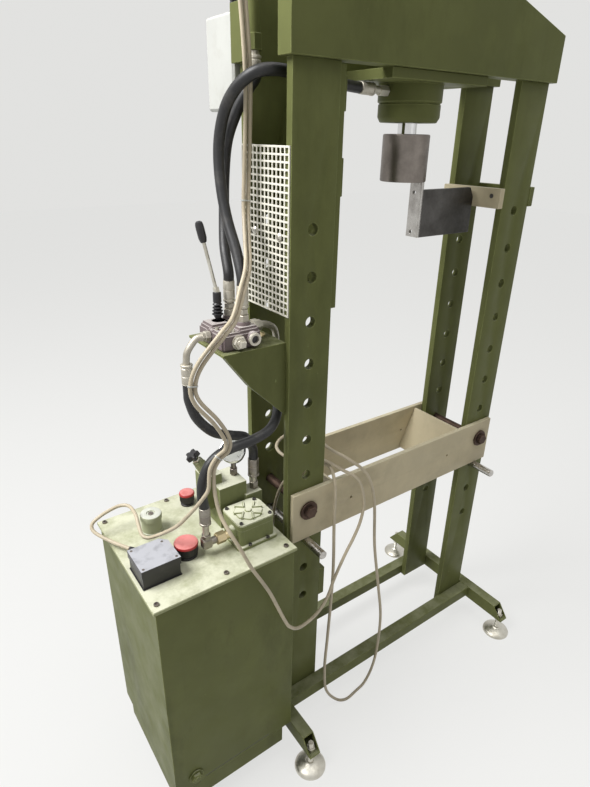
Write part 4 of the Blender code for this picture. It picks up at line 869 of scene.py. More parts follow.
def grille():
    """The moulded grille, with its fine open cells and a slightly wider rim."""
    low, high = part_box("mesh_guard")
    half, height = (high.y - low.y) / 2, high.z - low.z
    column = (2 * (half - GRILLE_RIM) + GRILLE_BAR) / GRILLE_COLUMNS
    row = (height - 2 * GRILLE_RIM + GRILLE_BAR) / GRILLE_ROWS
    cells = []
    for i in range(GRILLE_COLUMNS):
        for j in range(GRILLE_ROWS):
            left, foot = GRILLE_RIM - half + i * column, GRILLE_RIM + j * row
            cells.append(rectangle(left, foot, left + column - GRILLE_BAR, foot + row - GRILLE_BAR))
    middle = (low + high) / 2
    matrix = Matrix.Translation((middle.x, middle.y, low.z)) @ FACING_SIDE
    form = Form().plate(rectangle(-half, 0, half, height), cells, high.x - low.x, matrix, 0.0007)
    form.keep("grille", GRILLE, "cream_plastic", "mesh_guard")
    screws = Form()
    dome = [(0.0095, 0), (0.0095, 0.001), (0.007, 0.004), (0.003, 0.0055), (0, 0.006)]
    for y, z in ((0.038, 1.521), (0.138, 1.523)):
        screws.turned(dome, aimed(place(-0.0033 - GAP, y, z), (-1, 0, 0)), 28)
    screws.keep("grille_screws", ZINC, "cream_plastic")


ARM_THICK = 0.012
ARM_END_THICK = 0.009
ARM_END_RISE = 0.028


def arm_parts():
    """The plate in dark steel, which paints the shade it stands in, and a bright strip on its end,
    a painted highlight of its lit end, with the bolts of its clamp.
    """
    low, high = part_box("arm_plate")
    width, depth, tall = high - low
    height = tall - ARM_END_RISE
    outline = [(0.004, 0), (width, 0), (width, height - 0.026), (width - 0.014, height)]
    matrix = Matrix.Translation((low.x, low.y + ARM_THICK / 2, low.z)) @ FACING_FRONT
    form = Form().plate([*outline, (0.004, height)], [], ARM_THICK, matrix, 0.001)
    form.keep("arm", DARK_STEEL, "dark_steel", "arm_plate")
    holes = [(-0.1 * depth, height - 0.008, 0.005), (-0.1 * depth, 0.014, 0.005)]
    matrix = Matrix.Translation((low.x + ARM_END_THICK / 2, (low.y + high.y) / 2, low.z))
    outline = rectangle(-depth / 2, 0, depth / 2, tall)
    form = Form().plate(outline, holes, ARM_END_THICK, matrix @ FACING_SIDE, 0.001)
    # The bright strip paints the light on the plate's end.
    form.keep("arm_lit_end", BRIGHT, "dark_steel")
    clamp_low, clamp_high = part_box("arm_clamp_inner")
    bolt_z = (clamp_low.z + clamp_high.z) / 2 + 0.006
    bolts = Form()
    cup = [(0.0062, 0.0002), (0.0062, -0.0006), (0.0048, -0.0008), (0.0036, -0.0002)]
    for y in (-0.072, 0.058):
        bolts.turned(cup, aimed((clamp_low.x, y, bolt_z), RIGHT), 28)
        outside = (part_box("arm_clamp_outer")[1].x, y, bolt_z)
        bolts.nut(0.017, 0.009, aimed(outside, RIGHT), GAP)
    bolts.keep("arm_clamp_bolts", DARK_STEEL, "dark_steel")


# Power pack

GROOVE_Z = 0.132
GROOVE_LEFT = 0.0845
GROOVE_RIGHT = 0.078
SEAM_TALL = 0.0024


def tank_details():
    low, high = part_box("tank_lid")
    screws = Form()
    for x in (low.x + 0.0165, high.x - 0.02, (low.x + high.x) / 2):
        for y in (low.y + 0.022, high.y - 0.014):
            screws.cap_screw((x, y, high.z + GAP))
    screws.keep("lid_screws", TURNED, "zinc")
    strip = Form()
    front = (low.x + 0.001, low.y + 0.001, high.z - 0.0005)
    strip.box(front, (high.x - 0.001, low.y + 0.0125, high.z + 0.0012), 0.0005)
    # The strip is painted in the lit copy of the olive.
    strip.keep("lid_front_strip", GREEN_LIT, "leaf_green_paint")
    low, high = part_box("drain_plug")
    matrix = aimed(((low.x + high.x) / 2, high.y, (low.z + high.z) / 2), (0, -1, 0))
    drain = Form().turned([(0.0195, 0), (0.0205, 0.001), (0.0205, 0.004)], matrix)
    drain.nut(0.0265, 0.0078, matrix, 0.004)
    drain.turned([(0.0075, 0.011), (0.007, 0.0132)], matrix, 24)
    drain.keep("drain", TANK_GREEN, "green_paint", "drain_plug")
    low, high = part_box("tank_body")
    # A black strip set in the groove: painted shade in the groove.
    seam = Form()
    foot = (low.x + GROOVE_LEFT + GAP, low.y + 0.0006, GROOVE_Z + GAP)
    seam.box(foot, (high.x - GROOVE_RIGHT - GAP, low.y + 0.0017, GROOVE_Z + GAP + SEAM_TALL))
    seam.keep("groove_painted_shade", BLACK, "green_paint")


def terminal_lid():
    """The box's lid with one cut corner and sunk screws, and the lip round the box's foot."""
    low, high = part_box("terminal_box_lid")
    cut_off = 0.017
    outline = rectangle(low.x, low.y, high.x, high.y)
    outline[2:3] = [(high.x, high.y - cut_off), (high.x - cut_off, high.y)]
    lid = Form().prism(outline, Vector(), low.z, high.z)
    edges = [e for e in lid.mesh.edges if e.calc_face_angle(0.0) > 0.5]
    bmesh.ops.bevel(lid.mesh, geom=edges, offset=0.0016, segments=2, affect="EDGES")
    lid.keep("terminal_cover", BOX_LID, "black_plastic", "terminal_box_lid")
    screws = Form()
    dent = [(0.0032, -0.001), (0.0032, 0.0004), (0.0022, 0.0007), (0.0018, 0.0002)]
    near_x, near_y = low.x + 0.0075, low.y + 0.0075
    spots = [(near_x, near_y), (high.x - 0.0075, near_y), (near_x, high.y - 0.0075)]
    for x, y in (*spots, (high.x - 0.015, high.y - 0.0145)):
        screws.turned(dent, aimed((x, y, high.z), UP), 20)
    screws.keep("terminal_screws", TURNED, "zinc")
    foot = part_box("terminal_box")[0]
    reach = Vector((0.0022, 0.0022, 0))
    lip = Form()
    lip.box(foot - reach, place(-0.32, 0.057, foot.z + 0.003) + reach, 0.0008)
    lip.keep("terminal_foot", BLACK, "black_plastic")
    gland = Form()
    matrix = aimed(place(-0.384, 0.0725, TERMINAL_ENTRY_Z), (0, 1, 0))
    gland.nut(0.0185, 0.007, matrix)
    gland.turned([(0.0085, 0.007), (0.0085, 0.012), (0.0065, 0.0155)], matrix, 28)
    gland.keep("terminal_gland", BLACK, "black_plastic")


def breather():
    """The white cup: smooth wall, wider foot, flat top with a round button."""
    foot, radius, top = round_part("breather_cup")
    cup = [(radius, 0), (radius, 0.0035), (radius - 0.0022, 0.0052)]
    cup += [(radius - 0.0026, top - 0.017), (radius - 0.0006, top - 0.0155)]
    cup += [(radius - 0.0006, top - 0.0035), (radius - 0.0018, top - 0.001), (radius - 0.004, top)]
    cup += [(0.0115, top - 0.0008), (0.0108, top - 0.003)]
    form = Form().turned(cup, aimed(foot, UP), 64)
    form.keep("breather", CUP, "white_plastic", "breather_cup")
    base = Matrix.Translation(foot + UP * (top - 0.003))
    button = Form().nut(0.0125, 0.0026, base, 0.0001)
    button.turned([(0.0036, 0.002), (0.0032, 0.003)], base, 20)
    button.keep("breather_button", TURNED, "zinc")


CAP_RIBS = 40


def filler_cap(name):
    """A screw cap: a thin red disc, painted lighter on top for the light from above, on a tall,
    finely ribbed black skirt.
    """
    foot, radius, top = round_part(name)
    disc, waist, wall = top - 0.0085, radius - 0.0055, radius - 0.0022
    red = [(radius - 0.0012, disc + 0.0002), (radius - 0.0002, disc + 0.001)]
    red += [(radius - 0.0002, top - 0.0045), (radius - 0.0016, top - 0.0018)]
    red += [(radius * 0.82, top - 0.0005), (radius * 0.4, top)]
    form = Form().turned(red, aimed(foot, UP), 48)
    form.keep(name + "_top", RED, "red_plastic", name, body=name)
    skirt = [(radius - 0.003, 0), (radius - 0.003, 0.0045), (waist, 0.006), (waist, 0.009)]
    skirt += [(wall, 0.0105), (wall, disc - 0.0015), (radius - 0.0012, disc)]
    base = Form().turned(skirt, Matrix.Translation(foot), 64)
    rib = [(0, 0.0115), (0.0009, 0.0122), (0.0009, disc - 0.002), (0, disc - 0.0012)]
    for out in circle(wall, CAP_RIBS):
        base.turned(rib, Matrix.Translation(foot + out), 8)
    base.keep(name + "_base", BLACK, "red_plastic", body=name)


COVER_LOW = (-0.165, -0.036)
COVER_HIGH = (-0.061, 0.059)
COVER_HEIGHT = 0.07
COVER_PORT = (-0.002, 0.037)


def add_rib(form, start, end, width, tall):
    """Adds a low rib with soft edges between two points on a level face."""
    along = (end - start).normalized() * width / 2
    across = Vector((-along.y, along.x, 0))
    rings = []
    for height, share in ((-0.001, 1), (tall * 0.6, 0.9), (tall, 0.5)):
        a, b = along * share, across * share
        corners = (start - a - b, end + a - b, end + a + b, start - a + b)
        rings.append([corner + UP * height for corner in corners])
    form.skin(rings)


def pump_cover():
    """The cast cover: rounded body, flanged foot, bolted top with crossing ribs, side port."""
    low, high = place(*COVER_LOW, 0), place(*COVER_HIGH, 0)
    middle = (low + high) / 2
    middle.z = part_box("pump_cover")[0].z
    half_x, half_y = (high.x - low.x) / 2, (high.y - low.y) / 2
    body = rounded_outline(half_x, half_y, (0.024, 0.014, 0.014, 0.014))
    foot = rounded_outline(half_x + 0.006, half_y + 0.0015, (0.02, 0.012, 0.012, 0.012))
    foot_at = middle - Vector((0, 0.004, 0))
    form = Form()
    form.prism(foot, foot_at, 0, 0.0075)
    form.prism(foot, foot_at, 0.0072, 0.009, 0.985)
    form.prism(body, middle, 0, 0.052, 0.95)
    form.prism(body, middle, 0.0515, 0.0545, 0.93)
    form.prism(body, middle, 0.054, 0.068)
    form.prism(body, middle, 0.0675, COVER_HEIGHT, 0.98)
    top = middle + UP * COVER_HEIGHT
    upright = Matrix.Translation(top)
    panel = [(0.0375, -0.002), (0.0375, 0.0015), (0.0365, 0.0028), (0, 0.0032)]
    form.turned(panel, upright, 8, 0.5)
    form.turned([(0.0085, 0), (0.0085, 0.0052), (0.0075, 0.0062)], upright, 32)
    for turn in (12, 102, 192, 282):
        angle = math.radians(turn)
        out = Vector((math.cos(angle), math.sin(angle), 0))
        aside = Vector((-out.y, out.x, 0)) * 0.0135
        knee = top + out * 0.0165 + UP * 0.0028
        for tip in (aside, -aside):
            add_rib(form, knee, top + out * 0.0335 + tip + UP * 0.0028, 0.005, 0.0036)
    for x_sign, y_sign in SIGNS:
        lug = middle + Vector((x_sign * (half_x - 0.011), y_sign * (half_y - 0.011), 0))
        post = [(0.0095, 0.008), (0.0088, 0.0535)]
        form.turned(post, Matrix.Translation(lug), 20)
    port_at = place(COVER_LOW[0], COVER_PORT[0], LID_TOP + COVER_PORT[1])
    port = [(0.019, -0.004), (0.0185, 0.006), (0.016, 0.0105), (0.0145, 0.012)]
    form.turned(port, aimed(port_at, (-1, 0, 0)), 36)
    form.keep("pump_casting", CAST_GREEN, "leaf_green_paint", "pump_cover")
    bolts = Form()
    for x_sign, y_sign in SIGNS:
        spot = top + Vector((x_sign * (half_x - 0.0105), y_sign * (half_y - 0.0105), GAP))
        if x_sign == y_sign == 1:
            spot -= Vector((0.003, 0.003, 0))
        bolts.cap_screw(spot, 0.0048)
    for x_sign in (1, -1):
        spot = foot_at + Vector((x_sign * (half_x - 0.026), -half_y - 0.0005, 0.009 + GAP))
        bolts.nut(0.0088, 0.005, Matrix.Translation(spot))
    bolts.keep("pump_cover_screws", DARK_STEEL, "zinc")


KNOB_ARMS = 5
KNOB_STEPS = 60


def relief_valve():
    """The star grip and its lock nut, on the axis of the relief valve."""
    joint = joint_of("relief_turn")
    matrix = aimed(joint["pos_m"], joint["axis"])
    star = []
    for i, out in enumerate(circle(1, KNOB_STEPS)):
        wave = math.cos(2 * math.pi * KNOB_ARMS * i / KNOB_STEPS)
        star.append(out * (0.0148 + 0.004 * wave))
    rings = []
    for height, scale in ((0.0528, 0.86), (0.0545, 1), (0.0655, 1), (0.0678, 0.82)):
        rings.append([matrix @ (point * scale + UP * height) for point in star])
    grip = Form().skin(rings)
    grip.keep("relief_grip", BLACK, "black_plastic", "relief_knob", body="relief_knob")
    body = [(0.0158, -0.028), (0.0165, -0.004), (0.0172, 0), (0.0172, 0.006), (0.0155, 0.008)]
    body += [(0.0152, 0.026), (0.0138, 0.028), (0.0132, 0.04), (0.0115, 0.042)]
    # The body is painted in the lit copy of the olive.
    Form().turned(body, matrix, 48).keep("relief_body", GREEN_LIT, "leaf_green_paint")
    stem = Form().nut(0.0185, 0.0055, matrix, 0.042)
    stem.thread(0.006, 0.047, 0.0522, matrix)
    stem.keep("relief_stem", ZINC, "zinc")


GAUGE_STEM = (-0.096, 0.112)
DIAL_TICKS = 21
DIAL_TOP = 0.0081


def gauge():
    """The pressure gauge: chrome case and bezel, dial with plain marks, and pointer."""
    joint = joint_of("pointer_turn")
    matrix = aimed(joint["pos_m"], joint["axis"])
    case = [(0.0265, -0.018), (0.0295, -0.0165), (0.0298, 0), (0.032, 0.002), (0.034, 0.004)]
    case += [(0.034, 0.011), (0.0325, 0.0138), (0.0305, 0.014), (0.0292, 0.0125), (0.0292, 0.0075)]
    Form().turned(case, matrix, 64).keep("gauge_case", CHROME, "chrome", "pressure_gauge")
    foot_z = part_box("pressure_gauge")[0].z
    upright = Matrix.Translation(place(*GAUGE_STEM, foot_z))
    stem = Form().turned([(0.0078, 0), (0.0078, 0.004)], upright, 24)
    stem.nut(0.019, 0.016, upright, 0.004)
    stem.turned([(0.0068, 0.02), (0.0068, 0.046)], upright, 24)
    stem.keep("gauge_stem", TURNED, "chrome")
    dial = Form().turned([(0.029, 0.0076), (0.029, DIAL_TOP)], matrix, 56)
    dial.keep("gauge_dial", DIAL, "white_plastic")
    marks = Form()
    for i in range(DIAL_TICKS):
        angle = math.radians(225 - 270 * i / (DIAL_TICKS - 1))
        inner, half = (0.0195, 0.0005) if i % 5 == 0 else (0.0225, 0.00025)
        along = Vector((math.cos(angle), math.sin(angle), 0))
        across = Vector((-along.y, along.x, 0)) * half
        near, far = along * inner, along * 0.0262
        corners = (near - across, far - across, far + across, near + across)
        rings = []
        for height in (DIAL_TOP - 0.0001, DIAL_TOP + 0.0001):
            rings.append([matrix @ (corner + UP * height) for corner in corners])
        marks.skin(rings)
    marks.keep("gauge_marks", BLACK, "black_plastic")
    coat(NODES["gauge_pointer"], BLACK)


# Valve and hoses

VALVE_MIN = (-0.158, 0.028)
VALVE_MAX = (-0.058, 0.142)
VALVE_HEIGHT = 0.047


def valve():
    """The cast lever valve: stepped block, port collars, bolts, plugs and a square plug."""
    low = place(*VALVE_MIN, SHELF_TOP + GAP)
    high = place(*VALVE_MAX, SHELF_TOP + GAP + VALVE_HEIGHT)
    form = Form()
    form.box(low, high - UP * 0.007, 0.005, 3)
    form.box(low + Vector((0.044, 0.004, 0.01)), high - Vector((0.002, 0.006, 0)), 0.005, 3)
    step = Vector((low.x + 0.06, high.y - 0.003, high.z))
    form.box(low + Vector((0.003, 0.056, 0.01)), step, 0.005, 3)
    step = Vector((low.x + 0.04, low.y + 0.05, high.z - 0.003))
    form.box(low + Vector((0.008, 0.006, 0.01)), step, 0.006, 3)
    collar = [(0.0175, -0.006), (0.0165, 0.004), (0.015, 0.0078)]
    for y in TOP_PORT_Y:
        form.turned(collar, aimed(place(TOP_PORT_X, y, high.z), UP))
    socket = joint_of("lever_swing")["pos_m"]
    ring = [(0.0165, -0.006), (0.0165, -0.0015), (0.015, 0)]
    form.turned(ring, aimed((socket[0], socket[1], high.z), UP))
    port_at = Vector((CORNER.x - 0.081, low.y, low.z + 0.0215))
    outwards = aimed(port_at, (0, -1, 0))
    port = [(0.0165, -0.012), (0.0165, 0.004), (0.0155, 0.0065)]
    form.turned(port, outwards, 44)
    for x, side in ((low.x, -1), (high.x, 1)):
        spot = (x, CORNER.y + SIDE_PORT_Y, low.z + 0.0255)
        form.turned([(0.0155, -0.006), (0.0145, 0)], aimed(spot, (side, 0, 0)), 36)
    form.keep("valve_casting_body", CAST, "cast_iron", "valve_body")
    # A black disc in the port's bore: painted shade of the hole.
    hole = Form().turned([(0.0086, 0.0069), (0.0086, 0.0076)], outwards, 48)
    hole.keep("valve_port_hole", BLACK, "black_plastic")
    ringed = [(0, 0.0066), (0.0152, 0.0066), (0.0152, 0.0122), (0.014, 0.0135)]
    ringed += [(0.0098, 0.0135), (0.0088, 0.012), (0.0088, 0.0068)]
    fittings = Form().turned(ringed, outwards, 44)
    matrix = aimed((CORNER.x - 0.118, low.y, low.z + 0.019), (0, -1, 0))
    fittings.turned([(0.0165, -0.004), (0.0168, 0.0025)], matrix)
    fittings.nut(0.027, 0.0085, matrix, 0.0025)
    fittings.turned([(0.0095, 0.011), (0.009, 0.0145)], matrix, 28)
    square = [(0.0092, 0.0145), (0.0092, 0.0235), (0.0082, 0.0245)]
    fittings.turned(square, matrix, 4, 0.4)
    for x, y in ((0.012, 0.014), (0.034, 0.014), (0.012, 0.046)):
        fittings.cap_screw((low.x + x, low.y + y, high.z - 0.0072), 0.0045, 0.0062)
    fittings.keep("valve_fittings", FERRULE, "zinc")
    matrix = aimed((high.x, CORNER.y + 0.05, low.z + 0.017), (1, 0, 0))
    plug = Form().turned([(0.0125, -0.003), (0.0125, 0.002)], matrix, 32)
    plug.nut(0.0185, 0.0075, matrix, 0.002)
    plug.turned([(0.006, 0.009), (0.0045, 0.021), (0, 0.0215)], matrix, 24)
    plug.keep("valve_side_plug", BRASS, "zinc")


BOOT_FOLDS = 4


def leaning(about_y, about_x):
    turn_y = Matrix.Rotation(math.radians(about_y), 4, "Y")
    return turn_y @ Matrix.Rotation(math.radians(about_x), 4, "X")


def lever():
    """The hand lever: upright folded rubber boot, leaning thin rod and a round-ended grip."""
    foot = Matrix.Translation(joint_of("lever_swing")["pos_m"])
    tip = foot @ leaning(-7, -6) @ (UP * 0.214)
    matrix = foot @ leaning(1.5, -3)
    knee = matrix @ (UP * 0.056)
    upper = aimed(knee, tip - knee)
    long = (tip - knee).length
    boot = [(0, -0.0082), (0.0045, -0.007), (0.0082, 0)]
    for i in range(BOOT_FOLDS):
        low = 0.003 + i * 0.0074
        wide = 0.0134 - i * 0.0008
        boot += [(wide - 0.0042, low), (wide, low + 0.003), (wide - 0.0006, low + 0.0048)]
    boot += [(0.0082, 0.0325), (0.0098, 0.035), (0.0095, 0.056), (0.0078, 0.0575)]
    rubber = Form().turned(boot, matrix)
    grip = [(0.0062, 0.046), (0.0076, 0.043), (0.0092, 0.036), (0.0094, 0.017)]
    grip += [(0.009, 0.008), (0.0074, 0.0025), (0.0042, 0.0002), (0, 0)]
    rubber.turned([(radius, long - below) for radius, below in grip], upper, 36)
    rubber.keep("lever_boot_and_grip", BLACK, "black_plastic", "valve_lever", body="lever")
    rod = Form().turned([(0.0075, 0), (0.0075, 0.0115)], upper, 6)
    rod.turned([(0.004, 0.011), (0.004, long - 0.045)], upper, 24)
    rod.keep("lever_rod", ZINC, "black_plastic", body="lever")


HOSE_RADIUS = 0.0122
FERRULE_RADIUS = 0.0142
PIPE_RADIUS = 0.008
LEFT_DROP = (-0.2145, 0.098)
RIGHT_DROP = (0.022, SIDE_PORT_Y)
CRIMPS = 2


def add_ferrule(form, start, end, radius=FERRULE_RADIUS):
    """Adds a crimped sleeve between two points, its collar at the start."""
    length = (end - start).length
    profile = [(radius - 0.002, 0), (radius, 0.0015), (radius, 0.005)]
    profile += [(radius - 0.0018, 0.0062), (radius - 0.0018, 0.0085)]
    crimp = (length - 0.0105) / CRIMPS
    for i in range(CRIMPS):
        low = 0.0085 + i * crimp
        profile += [(radius - 0.0006, low + 0.0012), (radius - 0.0009, low + crimp - 0.0014)]
        profile += [(radius - 0.0016, low + crimp - 0.0002)]
    profile += [(radius - 0.001, length - 0.001), (radius - 0.0022, length)]
    form.turned(profile, aimed(start, end - start), 28)


def along_way(points):
    """A rounded way through points, given as places or measured from the bar's corner."""
    spots = [point if isinstance(point, Vector) else place(*point) for point in points]
    return smooth_path(spots, 8)


def rubber_hose(node, name, *points):
    keep(wire(name, along_way(points), HOSE_RADIUS, 6), RUBBER, "hose_rubber", node)


def bent_pipe(name, *points):
    keep(wire(name, along_way(points), PIPE_RADIUS), FERRULE, "zinc")


def port_fitting(form, start):
    """Adds the nut, neck and ferrule that stand on a port and look up."""
    form.union(start, start + UP * 0.0145, 0.0265)
    form.neck(start + UP * 0.0145, start + UP * 0.031, 0.0092)
    form.union(start + UP * 0.017, start + UP * 0.0275, 0.0225)
    add_ferrule(form, start + UP * 0.0305, start + UP * 0.081)


def upper_hoses(fittings):
    """The two hoses that rise from the valve's top ports to the cylinder."""
    boss_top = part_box("hose_gland")[0].z
    start = place(TOP_PORT_X, TOP_PORT_Y[0], boss_top)
    port_fitting(fittings, start)
    low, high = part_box("cylinder_gland")
    port = Vector((low.x - 0.0008, 0, high.z - 0.0172))
    end = port - Vector((0.085, 0, -0.003))
    rubber_hose(
        "hose_gland", "outer_hose", start + UP * 0.078, start + UP * 0.1,
        (-0.082, 0.09, 1.49), (-0.08, 0.134, 1.56), (-0.078, 0.16, 1.64), (-0.074, 0.165, 1.71),
        (-0.068, 0.145, 1.77), (-0.06, 0.11, 1.808), (-0.042, 0.075, 1.832), (-0.01, 0.058, 1.84),
        (0.05, 0.062, 1.838), (0.15, 0.078, 1.829), end - RIGHT * 0.005, end + RIGHT * 0.002,
    )
    add_ferrule(fittings, end.lerp(port, 0.48), end)
    fittings.neck(end.lerp(port, 0.46), end.lerp(port, 0.75), 0.0085)
    fittings.union(end.lerp(port, 0.7), port, 0.0215)
    start = place(TOP_PORT_X, TOP_PORT_Y[1], boss_top)
    port_fitting(fittings, start)
    end = place(0, PIPE_Y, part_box("cylinder_pipe")[0].z - 0.0005)
    rubber_hose(
        "hose_pipe", "inner_hose", start + UP * 0.078, start + UP * 0.1,
        (-0.07, 0.165, 1.49), (-0.052, 0.195, 1.56), (-0.045, 0.2, 1.64), (-0.04, 0.19, 1.71),
        (-0.03, 0.165, 1.765), (-0.015, 0.145, 1.805), end - UP * 0.05, end - UP * 0.042,
    )
    add_ferrule(fittings, end - UP * 0.008, end - UP * 0.046)
    fittings.neck(end - UP * 0.009, end, 0.0102)


def left_hose(fittings, foot_parts):
    """The hose from the valve's left side down to the manifold."""
    left = place(-0.1583, SIDE_PORT_Y, SHELF_TOP + 0.025)
    bent_pipe(
        "left_elbow", left - RIGHT * 0.01, left - RIGHT * 0.018, (-0.192, 0.092, 1.305),
        (-0.211, 0.095, 1.28), (-0.2145, 0.097, 1.26), (*LEFT_DROP, 1.248),
    )
    fittings.union(left, left - RIGHT * 0.013, 0.0215)
    fittings.union(left - RIGHT * 0.0132, left - Vector((0.021, 0, -0.0006)), 0.0185)
    add_ferrule(fittings, place(*LEFT_DROP, 1.25), place(*LEFT_DROP, 1.2))
    foot = place(-0.0525, 0.083, LID_TOP + 0.0806)
    rubber_hose(
        "hose_pressure", "left_hose", (*LEFT_DROP, 1.203), (*LEFT_DROP, 1.18),
        (-0.2135, 0.0975, 1.155), (-0.2, 0.092, 1.11), (-0.165, 0.08, 1.068), (-0.12, 0.07, 1.05),
        (-0.085, 0.07, 1.035), (-0.063, 0.077, 1.003), foot + UP * 0.115, foot + UP * 0.086,
    )
    add_ferrule(foot_parts, foot + UP * 0.037, foot + UP * 0.09, 0.0152)
    bent_pipe("left_tail", foot + UP * 0.039, foot + UP * 0.03, foot + UP * 0.016)
    foot_parts.union(foot, foot + UP * 0.0195, 0.0215)


def right_hose(fittings, foot_parts):
    """The hose from the valve's right side down to an elbow on the cast cover."""
    right = place(-0.0577, SIDE_PORT_Y, SHELF_TOP + 0.028)
    bent_pipe(
        "right_elbow", right + RIGHT * 0.01, right + RIGHT * 0.018, (-0.01, 0.088, 1.312),
        (0.014, 0.088, 1.298), (*RIGHT_DROP, 1.27), (*RIGHT_DROP, 1.218),
    )
    for near, far, across in ((0, 0.0105, 0.0235), (0.0107, 0.026, 0.0285), (0.0262, 0.035, 0.023)):
        fittings.union(right + RIGHT * near, right + RIGHT * far, across)
    add_ferrule(fittings, place(*RIGHT_DROP, 1.2205), place(*RIGHT_DROP, 1.17))
    port_y, port_z = COVER_PORT
    foot = place(-0.239, port_y, LID_TOP + port_z)
    cover = place(-0.1773, port_y, LID_TOP + port_z)
    rubber_hose(
        "hose_return", "right_hose", (*RIGHT_DROP, 1.174), (0.022, 0.087, 1.16),
        (0.02, 0.08, 1.12), (-0.004, 0.045, 1.085), (-0.045, 0.018, 1.066), (-0.1, 0.01, 1.057),
        (-0.15, 0.006, 1.057), (-0.193, 0.002, 1.052), (-0.222, 0, 1.032), (-0.239, -0.001, 0.995),
        (-0.243, -0.002, 0.96), foot + Vector((-0.001, 0, 0.112)), foot + UP * 0.102,
    )
    add_ferrule(foot_parts, foot + UP * 0.057, foot + UP * 0.105)
    bent_pipe("right_tail", foot + UP * 0.059, foot + UP * 0.04, foot + UP * 0.012)
    half = Vector((0.0118, 0.0118, 0.0118))
    foot_parts.box(foot - half, foot + half + UP * 0.004, 0.0028, 3)
    foot_parts.union(foot + UP * 0.0165, foot + UP * 0.0265, 0.021)
    foot_parts.neck(foot + RIGHT * (half.x - 0.001), foot.lerp(cover, 0.5), 0.0092)
    brass = Form()
    brass.union(foot.lerp(cover, 0.42), foot.lerp(cover, 0.8), 0.0265)
    brass.neck(foot.lerp(cover, 0.8), cover, 0.0112)
    brass.keep("cover_union", BRASS, "zinc")


def hoses():
    fittings, foot_parts = Form(), Form()
    upper_hoses(fittings)
    left_hose(fittings, foot_parts)
    right_hose(fittings, foot_parts)
    fittings.keep("hose_fittings", FERRULE, "zinc")
    foot_parts.keep("hose_foot_fittings", DULL_ZINC, "zinc")


def cylinder_pipe():
    foot = place(0, PIPE_Y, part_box("cylinder_pipe")[0].z)
    barrel_low, barrel_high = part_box("cylinder_barrel")
    port = Vector((barrel_low.x - 0.0006, 0, barrel_high.z - 0.06))
    up = Vector((foot.x, foot.y, port.z - 0.05))
    over = Vector((foot.x + 0.05, foot.y - 0.01, port.z))
    bend = (up + over) / 2 + Vector((-0.012, 0, 0.012))
    way = [foot + UP * 0.02, foot + UP * 0.06, up - UP * 0.03, up, bend, over]
    way += [port - RIGHT * 0.06, port - RIGHT * 0.02]
    pipe = wire("rigid_pipe", smooth_path(way, 10), 0.0125, 6)
    keep(pipe, GREEN, "green_paint", "cylinder_pipe")
    nuts = Form()
    nuts.union(foot, foot + UP * 0.03, 0.029)
    nuts.union(port - RIGHT * 0.03, port, 0.03)
    nuts.keep("rigid_pipe_nuts", GREEN, "green_paint")


# Stage and light

FLOOR_REACH = 14
FLOOR = (0.8, 0.8, 0.785)
FLOOR_SHARE = 0.76
PALE = (0.9, 0.9, 0.885, 1)
SKY_LIGHT = (0.9, 0.9, 0.88, 1)
SKY_STRENGTH = 0.33
BACKDROP = (0.7585, 0.7585, 0.744, 1)


def seen_directly(nodes):
    """1 for camera, glossy and transmission rays, and 0 for the light that bounces."""
    total = nodes.node("LightPath", "Is Camera Ray")
    for kind in ("Is Glossy Ray", "Is Transmission Ray"):
        rays = {0: total, 1: nodes.node("LightPath", kind)}
        total = nodes.node("Math", "Value", rays, operation="MAXIMUM")
    return total


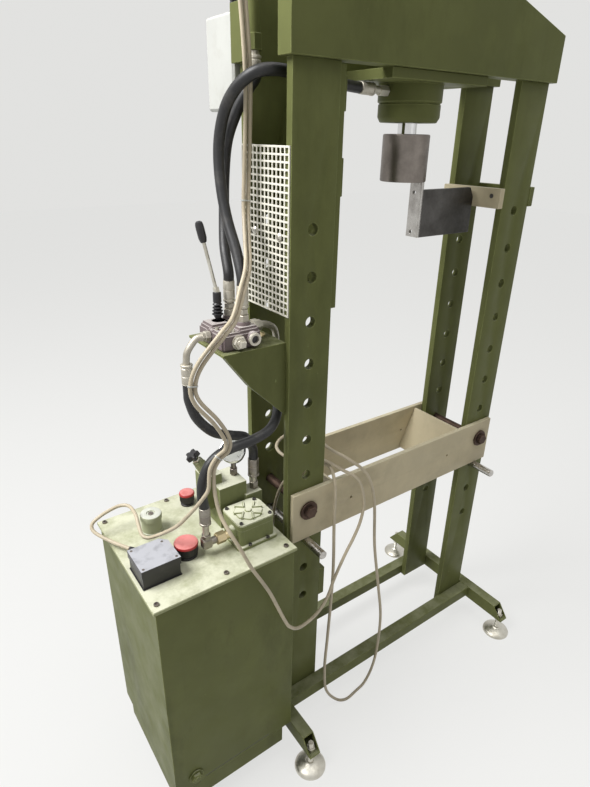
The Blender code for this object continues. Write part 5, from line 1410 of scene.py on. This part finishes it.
def make_stage():
    form = Form()
    corners = [(x * FLOOR_REACH, y * FLOOR_REACH, 0) for x, y in SIGNS]
    form.mesh.faces.new([form.mesh.verts.new(corner) for corner in corners])
    floor = form.made("floor")
    look = Look("pale_floor", 0.85)
    tone = look.mixed(look.noise(1.2, 2), shade(FLOOR, 0.985), FLOOR)
    look.fill(look.shader, {"Base Color": tone})
    floor.data.materials.append(look.material)
    share = look.times(seen_directly(look), FLOOR_SHARE)
    glow = look.node("Emission", "Emission", {"Color": PALE})
    blend = look.node("MixShader", "Shader", {0: share, 1: look.shader.outputs["BSDF"], 2: glow})
    look.fill(look.tree.nodes["Material Output"], {"Surface": blend})
    world = bpy.data.worlds.new("studio")
    bpy.context.scene.world = world
    world.use_nodes = True
    sky = Nodes(world.node_tree)
    soft = sky.tree.nodes["Background"]
    sky.fill(soft, {"Color": SKY_LIGHT, "Strength": SKY_STRENGTH})
    pale = sky.node("Background", "Background", {"Color": BACKDROP})
    layers = {0: seen_directly(sky), 1: soft.outputs["Background"], 2: pale}
    blend = sky.node("MixShader", "Shader", layers)
    sky.fill(sky.tree.nodes["World Output"], {"Surface": blend})


def area_light(name, offset, size, power):
    """A soft light that looks at the middle of the press."""
    data = bpy.data.lights.new(name, "AREA")
    data.shape = "RECTANGLE"
    data.size, data.size_y = size
    data.energy = power
    light = add_object(name, data)
    light.location = Vector((PRESS_X, 0, 1)) + Vector(offset)
    light.rotation_mode = "QUATERNION"
    light.rotation_quaternion = (-Vector(offset)).to_track_quat("-Z", "Y")


def make_light():
    area_light("key", (-2.6, 0.6, 2.9), (1.8, 1.8), 186)
    area_light("top", (0.3, -0.6, 3.2), (2.6, 2.0), 36)
    area_light("fill", (1.2, -3.4, 1.4), (2.4, 2.4), 3)


bpy.context.scene.view_settings.view_transform = "Standard"
make_camera()
make_cords()
finish_plain_nodes()
for end in ("front", "rear"):
    bed_side(f"bed_plate_{end}")
    filler_cap(f"filler_cap_{end}")
    for hand in ("left", "right"):
        drilled_upright(f"upright_{end}_{hand}")
        levelling_foot(f"levelling_foot_{end}_{hand}")
for hand in ("left", "right"):
    bed_bolt(f"bed_bolt_{hand}")
    bed_pin(f"bed_pin_{hand}")
cylinder_parts()
cylinder_pipe()
grille()
arm_parts()
tank_details()
terminal_lid()
breather()
pump_cover()
relief_valve()
gauge()
valve()
lever()
hoses()
make_stage()
make_light()
bpy.context.view_layer.update()
